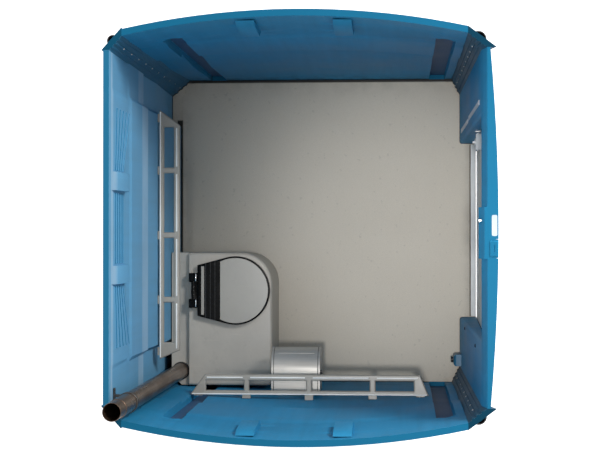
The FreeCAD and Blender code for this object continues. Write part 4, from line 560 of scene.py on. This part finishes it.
def settle(piece, name, body, slot, material, *nodes):
    """Names a finished piece, puts its place in its mesh, and ties it to its body, slot and nodes."""
    activate(piece)
    bpy.ops.object.transform_apply(location=True, rotation=True, scale=True)
    piece.name = name
    piece.data.name = name
    piece.data.materials.clear()
    piece.data.materials.append(material)
    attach(piece, body)
    if nodes:
        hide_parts(*nodes)


def finish_mesh(piece, angle=SMOOTH_ANGLE):
    """Smooth shading by angle."""
    activate(piece)
    bpy.ops.object.shade_smooth_by_angle(angle=math.radians(angle))


def apply_modifier(piece, kind, **settings):
    """Adds a modifier, sets it and applies it."""
    activate(piece)
    modifier = piece.modifiers.new(kind.title(), kind)
    for key, value in settings.items():
        setattr(modifier, key, value)
    bpy.ops.object.modifier_apply(modifier=modifier.name)


def softened(node, width, material):
    """A copy of a node with its mesh joined up and its edges rounded, in place of the node."""
    source = frame["nodes"][node]
    piece = bpy.data.objects.new(node + "_soft", source.data.copy())
    bpy.context.scene.collection.objects.link(piece)
    activate(piece)
    bpy.ops.object.mode_set(mode="EDIT")
    bpy.ops.mesh.select_all(action="SELECT")
    bpy.ops.mesh.remove_doubles(threshold=WELD)
    bpy.ops.mesh.select_all(action="DESELECT")
    bpy.ops.mesh.select_mode(type="FACE")
    bpy.ops.mesh.select_interior_faces()
    bpy.ops.mesh.delete(type="FACE")
    bpy.ops.object.mode_set(mode="OBJECT")
    apply_modifier(
        piece, "BEVEL", width=width, segments=2, limit_method="ANGLE",
        angle_limit=math.radians(SHARP_ANGLE), use_clamp_overlap=True, miter_outer="MITER_ARC",
    )
    finish_mesh(piece)
    apply_modifier(piece, "WEIGHTED_NORMAL", weight=90, keep_sharp=True)
    settle(piece, node + "_soft", source["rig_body"], SLOTS[node], material, node)


def round_bar(name, radius, start, end, body, slot, material):
    """A round bar with eased ends from one point to another."""
    start, end = Vector(start), Vector(end)
    deselect()
    bpy.ops.mesh.primitive_cylinder_add(vertices=BAR_SIDES, radius=radius, depth=(end - start).length)
    piece = bpy.context.object
    piece.rotation_euler = (end - start).to_track_quat("Z", "X").to_euler()
    piece.location = (start + end) / 2
    apply_modifier(piece, "BEVEL", width=radius * 0.35, segments=3, limit_method="ANGLE")
    finish_mesh(piece, 35.0)
    settle(piece, name, body, slot, material)


def coat(material, *nodes):
    """Gives CAD nodes that stay as they are their finish."""
    for name in nodes:
        node = frame["nodes"][name]
        node.data.materials.clear()
        node.data.materials.append(material)


SLOTS = {entry["node"]: entry["material_slot"] for entry in frame["record"]["subparts"]}


# Places and sizes of trim, in metres along the frame's axes


FINE_EDGE = 0.0006                  # edge radii, from thin metal to thick mouldings
THIN_EDGE = 0.0008
EASED_EDGE = 0.0010
SOFT_EDGE = 0.0012
BROAD_EDGE = 0.0015
PANE_EDGE = 0.0004
REAR_WALL_EDGE = 0.45               # the rear wall's share of the shell's edge radius, for its fine ribs

CORNER_GROOVES = ((-0.640, -0.555), (0.545, 0.630))
# Height bands of the rear wall's painted sheen.
REAR_SHEEN = ((1.12, 1.38), (2.02, 2.10))
SILL_INNER = -0.780
LID_STEPS = (0.5546, 0.5786, 0.6030)
ROLL_CORE = 0.023

MARK_RADIUS = 0.0035                # pale marks on the seat's hinge blocks
MARK_REACH = 0.019
MARK_INSET = 0.023
MARK_BACK = 0.0055
MARK_SINK = 0.0018

BEAD_INSET = 0.015                  # from the side of a grab rail to the beads on its room-side bar
BEAD_SPREAD = 0.081                 # from these to the bead on its wall-side bar
BEAD_SHORT = 0.004                  # what a bead stops short of a cross bar
BEAD_SINK = 0.0010                  # depth of the beads' axes below the rail's top
# Along each rail: the spans between its cross bars, and the reach of the wall-side bead
RAIL_BEADS = {
    "rear": (((-0.590, -0.360), (-0.332, -0.042), (-0.014, 0.278), (0.306, 0.505)), (-0.630, 0.582)),
    "side": (((-0.490, -0.281), (-0.250, 0.032), (0.061, 0.340), (0.368, 0.554)), (-0.530, 0.624)),
}


# Operators


class CABIN_OT_walls(bpy.types.Operator):
    """Side walls, rear wall and front panels with rounded moulded edges"""

    bl_idname = "cabin.walls"
    bl_label = "Walls"

    def execute(self, context):
        own = context.scene.cabin_shell
        blue = tuple(own.blue)
        wall = moulded_wall("wall_blue", blue)
        side = moulded_wall("side_wall_blue", blue, fade_and_sheen=0.05, grooves=CORNER_GROOVES)
        # The rear wall's lighter blue and strong pale fade are painted light, and its pale bands are a
        # painted sheen.
        back = moulded_wall("rear_wall_blue", shade(blue, REAR_WALL_PAINTED_LIGHT), fade_and_sheen=0.44, sheen=REAR_SHEEN)
        for node in ("front_panel_left", "front_panel_right"):
            softened(node, own.edge, wall)
        for node in ("side_wall_left", "side_wall_right"):
            softened(node, own.edge, side)
        softened("rear_wall", own.edge * REAR_WALL_EDGE, back)
        softened("header_cap", EASED_EDGE, wall)
        return {"FINISHED"}


class CABIN_OT_corners(bpy.types.Operator):
    """Corner posts, the black strips outside them and their rivets"""

    bl_idname = "cabin.corners"
    bl_label = "Corners"

    def execute(self, context):
        own = context.scene.cabin_shell
        # Darker copies of the wall's blue: painted shade on the posts.
        posts = {
            "front": moulded_wall("front_post_blue", shade(tuple(own.blue), FRONT_POST_PAINTED_SHADE)),
            "rear": moulded_wall("rear_post_blue", shade(tuple(own.blue), REAR_POST_PAINTED_SHADE)),
        }
        strip = moulded_plain(
            "strip_black", tuple(own.black), (0.38, 0.55), grain=260.0, depth=0.0003, soil=0.3
        )
        for end in ("front_left", "front_right", "rear_left", "rear_right"):
            softened("corner_post_" + end, BROAD_EDGE, posts[end.split("_")[0]])
            softened("corner_cover_" + end, SOFT_EDGE, strip)
        coat(strip, "jamb_foot_plug")
        coat(plated("bright_fastener", STEEL, (0.22, 0.36)), "corner_rivets", "foot_screws")
        return {"FINISHED"}


class CABIN_OT_floor(bpy.types.Operator):
    """Floor pan and the metal edging of its sill"""

    bl_idname = "cabin.floor"
    bl_label = "Floor"

    def execute(self, context):
        own = context.scene.cabin_floor
        softened("floor_pan", own.edge, grained_floor("floor_grain", tuple(own.grey)))
        softened("threshold_strip", THIN_EDGE, sill_strip("sill_white", SILL_INNER))
        return {"FINISHED"}


class CABIN_OT_doorway(bpy.types.Operator):
    """Boss, strips, pane, seals and fixings of the doorway"""

    bl_idname = "cabin.doorway"
    bl_label = "Doorway"

    def execute(self, context):
        own = context.scene.cabin_shell
        strip = moulded_plain("jamb_pale", JAMB_PALE, (0.35, 0.5), depth=0.0002, soil=0.25)
        softened("jamb_strips", EASED_EDGE, strip)
        pane = moulded_plain("pane_pale", PANE_PALE, (0.2, 0.35), depth=0.0002)
        softened("header_pane", PANE_EDGE, pane)
        softened("jamb_foot", BROAD_EDGE, moulded_plain("foot_blue", shade(tuple(own.blue), FOOT_SHADE)))
        coat(soft_rubber("seal_rubber", tuple(own.black)), "door_seals", "jamb_fixings")
        coat(plated("zinc_fixing", FIXING_ZINC, (0.25, 0.4)), "header_bolt")
        return {"FINISHED"}


class CABIN_OT_door(bpy.types.Operator):
    """Door leaf, hinges, latch and pull handle"""

    bl_idname = "cabin.door"
    bl_label = "Door"

    def execute(self, context):
        own = context.scene.cabin_door
        black = tuple(context.scene.cabin_shell.black)
        leaf = moulded_plain(
            "leaf_white", tuple(own.white), (0.34, 0.48), grain=280.0, depth=0.0003, soil=0.10
        )
        softened("door_leaf", own.edge, leaf)
        zinc = plated("hinge_zinc", HINGE_ZINC, (0.26, 0.42), grain=(30.0, 30.0, 220.0))
        for node in ("hinge_jamb_straps", "hinge_leaf_straps", "latch_bolt", "latch_keeper"):
            softened(node, FINE_EDGE, zinc)
        coat(zinc, "hinge_pins", "hinge_jamb_screws", "hinge_leaf_screws", "latch_spindle")
        grip = moulded_plain("grip_black", black, (0.34, 0.50), grain=240.0, depth=0.0003, soil=0.25)
        softened("pull_handle", SOFT_EDGE, grip)
        for node in ("latch_case", "latch_knob"):
            softened(node, SOFT_EDGE, leaf)
        low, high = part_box("latch_indicator")
        disc = indicator_disc("indicator", (low.x + high.x) / 2, FREE_GREEN, TAKEN_RED)
        coat(disc, "latch_indicator")
        return {"FINISHED"}


class CABIN_OT_tank(bpy.types.Operator):
    """Waste tank with its drop collar"""

    bl_idname = "cabin.tank"
    bl_label = "Waste tank"

    def execute(self, context):
        own = context.scene.cabin_toilet
        tank = moulded_plain(
            "tank_moulding", tuple(own.tank), (0.36, 0.5), grain=320.0, depth=0.0003, soil=0.25
        )
        softened("waste_tank", BROAD_EDGE, tank)
        coat(tank, "drop_chute")
        return {"FINISHED"}


class CABIN_OT_seat(bpy.types.Operator):
    """Seat ring, lid with its sunk field, and the hinge"""

    bl_idname = "cabin.seat"
    bl_label = "Seat and lid"

    def execute(self, context):
        own = context.scene.cabin_toilet
        black = polished_black("seat_gloss", tuple(own.black))
        softened("seat_ring", SOFT_EDGE, black)
        softened("lid", EASED_EDGE, polished_black("lid_gloss", tuple(own.black), LID_STEPS))
        softened("seat_hinge_blocks", EASED_EDGE, black)
        chrome = plated("hinge_chrome", CHROME, (0.12, 0.2), tarnish=0.05)
        low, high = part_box("seat_hinge_blocks")
        slot = SLOTS["seat_hinge_blocks"]
        y, z = low.y + MARK_BACK, high.z - MARK_SINK
        for number, x in enumerate((low.x + MARK_INSET, high.x - MARK_INSET)):
            ends = (x - MARK_REACH, y, z), (x + MARK_REACH, y, z)
            round_bar("hinge_mark_%d" % number, MARK_RADIUS, *ends, "cabin", slot, chrome)
        panel = moulded_plain(
            "lid_field", tuple(own.panel), (0.30, 0.40), grain=420.0, depth=0.0002, soil=0.12
        )
        softened("lid_panel", THIN_EDGE, panel)
        softened("lid_bar", FINE_EDGE, panel)
        coat(soft_rubber("buffer_rubber", tuple(context.scene.cabin_shell.black)), "seat_bumpers")
        coat(plated("pin_steel", STEEL, (0.2, 0.34)), "lid_pin")
        return {"FINISHED"}


class CABIN_OT_vent(bpy.types.Operator):
    """Vent pipe, its gasket on the tank and the clip near its top"""

    bl_idname = "cabin.vent"
    bl_label = "Vent pipe"

    def execute(self, context):
        own = context.scene.cabin_toilet
        softened("vent_pipe", SOFT_EDGE, drawn_pipe("pipe_metal", tuple(own.pipe)))
        coat(soft_rubber("gasket_rubber", tuple(context.scene.cabin_shell.black)), "pipe_gasket")
        softened("pipe_clip", THIN_EDGE, plated("clip_steel", CLIP_STEEL))
        return {"FINISHED"}


class CABIN_OT_rails(bpy.types.Operator):
    """Grab rails, the pale beads along their bars, whose pale colour is a painted highlight, and their bolts
    """

    bl_idname = "cabin.rails"
    bl_label = "Grab rails"

    def execute(self, context):
        own = context.scene.cabin_fittings
        grey = moulded_plain(
            "rail_moulding", tuple(own.rail), (0.28, 0.42), grain=340.0, depth=0.0002, soil=0.12
        )
        for end in RAIL_BEADS:
            softened("grab_rail_" + end, BROAD_EDGE, grey)
        # Near-white beads along the bars: painted highlight.
        bright = moulded_plain("bead_pale", BEAD_HIGHLIGHT_PALE, (0.16, 0.26), grain=400.0, depth=0.0001, soil=0.06)
        for end, (spans, reach) in RAIL_BEADS.items():
            low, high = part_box("grab_rail_" + end)
            slot = SLOTS["grab_rail_" + end]
            along_x = end == "rear"
            room = low.y + BEAD_INSET if along_x else high.x - BEAD_INSET
            wall = room + BEAD_SPREAD if along_x else room - BEAD_SPREAD
            lines = [(room, near + BEAD_SHORT, far - BEAD_SHORT) for near, far in spans] + [(wall, *reach)]
            for number, (offset, near, far) in enumerate(lines):
                points = [
                    (along, offset, high.z - BEAD_SINK) if along_x else (offset, along, high.z - BEAD_SINK)
                    for along in (near, far)
                ]
                round_bar("%s_bead_%d" % (end, number), own.bead, *points, "cabin", slot, bright)
        coat(plated("rail_bolt_steel", BOLT_STEEL, (0.2, 0.34)), "rail_bolts")
        return {"FINISHED"}


class CABIN_OT_holder(bpy.types.Operator):
    """Paper holder: plate, cover with its rims and lip, lock, spindle and rolls"""

    bl_idname = "cabin.holder"
    bl_label = "Paper holder"

    def execute(self, context):
        own = context.scene.cabin_fittings
        low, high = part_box("holder_cover")
        cover = brushed_cover("holder_grey", tuple(own.cover), (low.y + high.y) / 2, (high.y - low.y) / 2)
        softened("holder_cover", SOFT_EDGE, cover)
        zinc = plated("holder_zinc", HOLDER_ZINC)
        softened("holder_plate", THIN_EDGE, zinc)
        coat(zinc, "holder_pins")
        black = moulded_plain("lock_black", tuple(context.scene.cabin_shell.black), (0.30, 0.45))
        softened("holder_lock", FINE_EDGE, black)
        softened("roll_spindle", EASED_EDGE, black)
        for roll in ("paper_roll_front", "paper_roll_rear"):
            low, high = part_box(roll)
            middle = (low + high) / 2
            coat(rolled_paper(roll.replace("roll", "finish"), middle.x, middle.z, ROLL_CORE), roll)
        return {"FINISHED"}


# Stage


EYE = (-0.0426, -0.4064, 8.4126)
AIM = (0.013, 0.147, 0.035)
SENSOR_WIDTH = 36.0
FLOOR_DROP = 0.0005
KEY_LAMP = ((2.9, -3.7, 6.2), (-0.30, 0.85, 1.3))
SOFT_LAMP = ((0.2, -0.3, 9.5), (0.0, 0.0, 0.0))
POOL_LAMP = ((-0.20, -0.38, 14.0), (-0.03, -0.52, 0.0))
KEY_SIZE = 1.6
SOFT_SIZE = 3.0
POOL_CONE = 10.2
POOL_RADIUS = 0.35


class CABIN_OT_stage(bpy.types.Operator):
    """White floor, world light, lamps and the camera over the open roof"""

    bl_idname = "cabin.stage"
    bl_label = "Stage"

    def execute(self, context):
        own = context.scene.cabin_stage
        scene = context.scene
        deselect()
        bpy.ops.mesh.primitive_plane_add(size=own.floor, location=(0.0, 0.0, -FLOOR_DROP))
        floor = bpy.context.object
        floor.name = "stage_floor"
        floor.data.materials.append(stage_white())
        world_light(own.sky)
        lamp("key_lamp", own.key, *KEY_LAMP, size=KEY_SIZE)
        lamp("soft_lamp", own.soft, *SOFT_LAMP, size=SOFT_SIZE)
        lamp("pool_lamp", own.pool, *POOL_LAMP, cone=POOL_CONE)
        data = bpy.data.cameras.new("camera")
        data.sensor_width = SENSOR_WIDTH
        data.lens = own.lens
        camera = bpy.data.objects.new("camera", data)
        scene.collection.objects.link(camera)
        back = (Vector(EYE) - Vector(AIM)).normalized()
        right = Vector((1.0, 0.0, 0.0)).cross(back).normalized()
        turn = Matrix((right, back.cross(right), back)).transposed().to_4x4()
        camera.matrix_world = Matrix.Translation(Vector(EYE)) @ turn
        scene.camera = camera
        scene.view_settings.view_transform = "Standard"
        return {"FINISHED"}


def stage_white():
    """Pale floor that the camera and reflections see as white, with the cabin's shadow kept."""
    s = Shader("stage_white")
    path = s.node("ShaderNodeLightPath", output="Is Camera Ray")
    gloss = s.node("ShaderNodeLightPath", output="Is Glossy Ray")
    clear = s.node("ShaderNodeLightPath", output="Is Transmission Ray")
    seen = s.larger(s.larger(path, gloss), clear)
    diffuse = s.node("ShaderNodeBsdfDiffuse", {}, {"Color": (0.75, 0.75, 0.75, 1.0)})
    glow = s.node("ShaderNodeEmission", {}, {"Color": (1.0, 1.0, 1.0, 1.0), "Strength": seen * 0.92})
    return s.output(s.node("ShaderNodeAddShader", {}, {0: diffuse, 1: glow}))


def world_light(strength):
    """Even light, white where the camera or a reflection sees it."""
    world = bpy.data.worlds.new("soft_white")
    bpy.context.scene.world = world
    world.use_nodes = True
    tree = world.node_tree
    tree.nodes.clear()
    path = tree.nodes.new("ShaderNodeLightPath")
    seen = tree.nodes.new("ShaderNodeMath")
    seen.operation = "MAXIMUM"
    tree.links.new(path.outputs["Is Camera Ray"], seen.inputs[0])
    tree.links.new(path.outputs["Is Glossy Ray"], seen.inputs[1])
    level = tree.nodes.new("ShaderNodeMapRange")
    tree.links.new(seen.outputs[0], level.inputs["Value"])
    level.inputs["To Min"].default_value = strength
    level.inputs["To Max"].default_value = 1.0
    background = tree.nodes.new("ShaderNodeBackground")
    tree.links.new(level.outputs[0], background.inputs["Strength"])
    end = tree.nodes.new("ShaderNodeOutputWorld")
    tree.links.new(background.outputs[0], end.inputs["Surface"])


def lamp(name, power, place, aim, size=None, cone=None):
    """A soft lamp that looks at a point: a square one of a size, or a round one with a cone in degrees."""
    data = bpy.data.lights.new(name, "AREA" if size else "SPOT")
    data.energy = power
    if size:
        data.size = size
    else:
        data.spot_size = math.radians(cone)
        data.spot_blend = 1.0
        data.shadow_soft_size = POOL_RADIUS
    made = bpy.data.objects.new(name, data)
    bpy.context.scene.collection.objects.link(made)
    made.location = place
    made.rotation_euler = (Vector(aim) - Vector(place)).to_track_quat("-Z", "Y").to_euler()
    made.visible_camera = False


STEPS = (
    CABIN_OT_walls, CABIN_OT_corners, CABIN_OT_floor, CABIN_OT_doorway, CABIN_OT_door, CABIN_OT_tank,
    CABIN_OT_seat, CABIN_OT_vent, CABIN_OT_rails, CABIN_OT_holder, CABIN_OT_stage,
)
GROUPS = {
    "cabin_shell": ShellSettings, "cabin_floor": FloorSettings, "cabin_door": DoorSettings,
    "cabin_toilet": ToiletSettings, "cabin_fittings": FittingSettings, "cabin_stage": StageSettings,
}


class CABIN_PT_steps(bpy.types.Panel):
    """Lists the cabin's pieces and their settings"""

    bl_idname = "CABIN_PT_steps"
    bl_label = "Portable toilet cabin"
    bl_space_type = "VIEW_3D"
    bl_region_type = "UI"
    bl_category = "Cabin"

    def draw(self, context):
        for step in STEPS:
            self.layout.operator(step.bl_idname)
        for name, group in GROUPS.items():
            box = self.layout.box()
            for key in group.__annotations__:
                box.prop(getattr(context.scene, name), key)


def register():
    for group in GROUPS.values():
        bpy.utils.register_class(group)
    for name, group in GROUPS.items():
        setattr(bpy.types.Scene, name, PointerProperty(type=group))
    for step in STEPS:
        bpy.utils.register_class(step)
    bpy.utils.register_class(CABIN_PT_steps)


def unregister():
    bpy.utils.unregister_class(CABIN_PT_steps)
    for step in reversed(STEPS):
        bpy.utils.unregister_class(step)
    for name, group in GROUPS.items():
        delattr(bpy.types.Scene, name)
        bpy.utils.unregister_class(group)


def main():
    register()
    for step in STEPS:
        space, call = step.bl_idname.split(".")
        getattr(getattr(bpy.ops, space), call)()


if __name__ == "__main__":
    main()
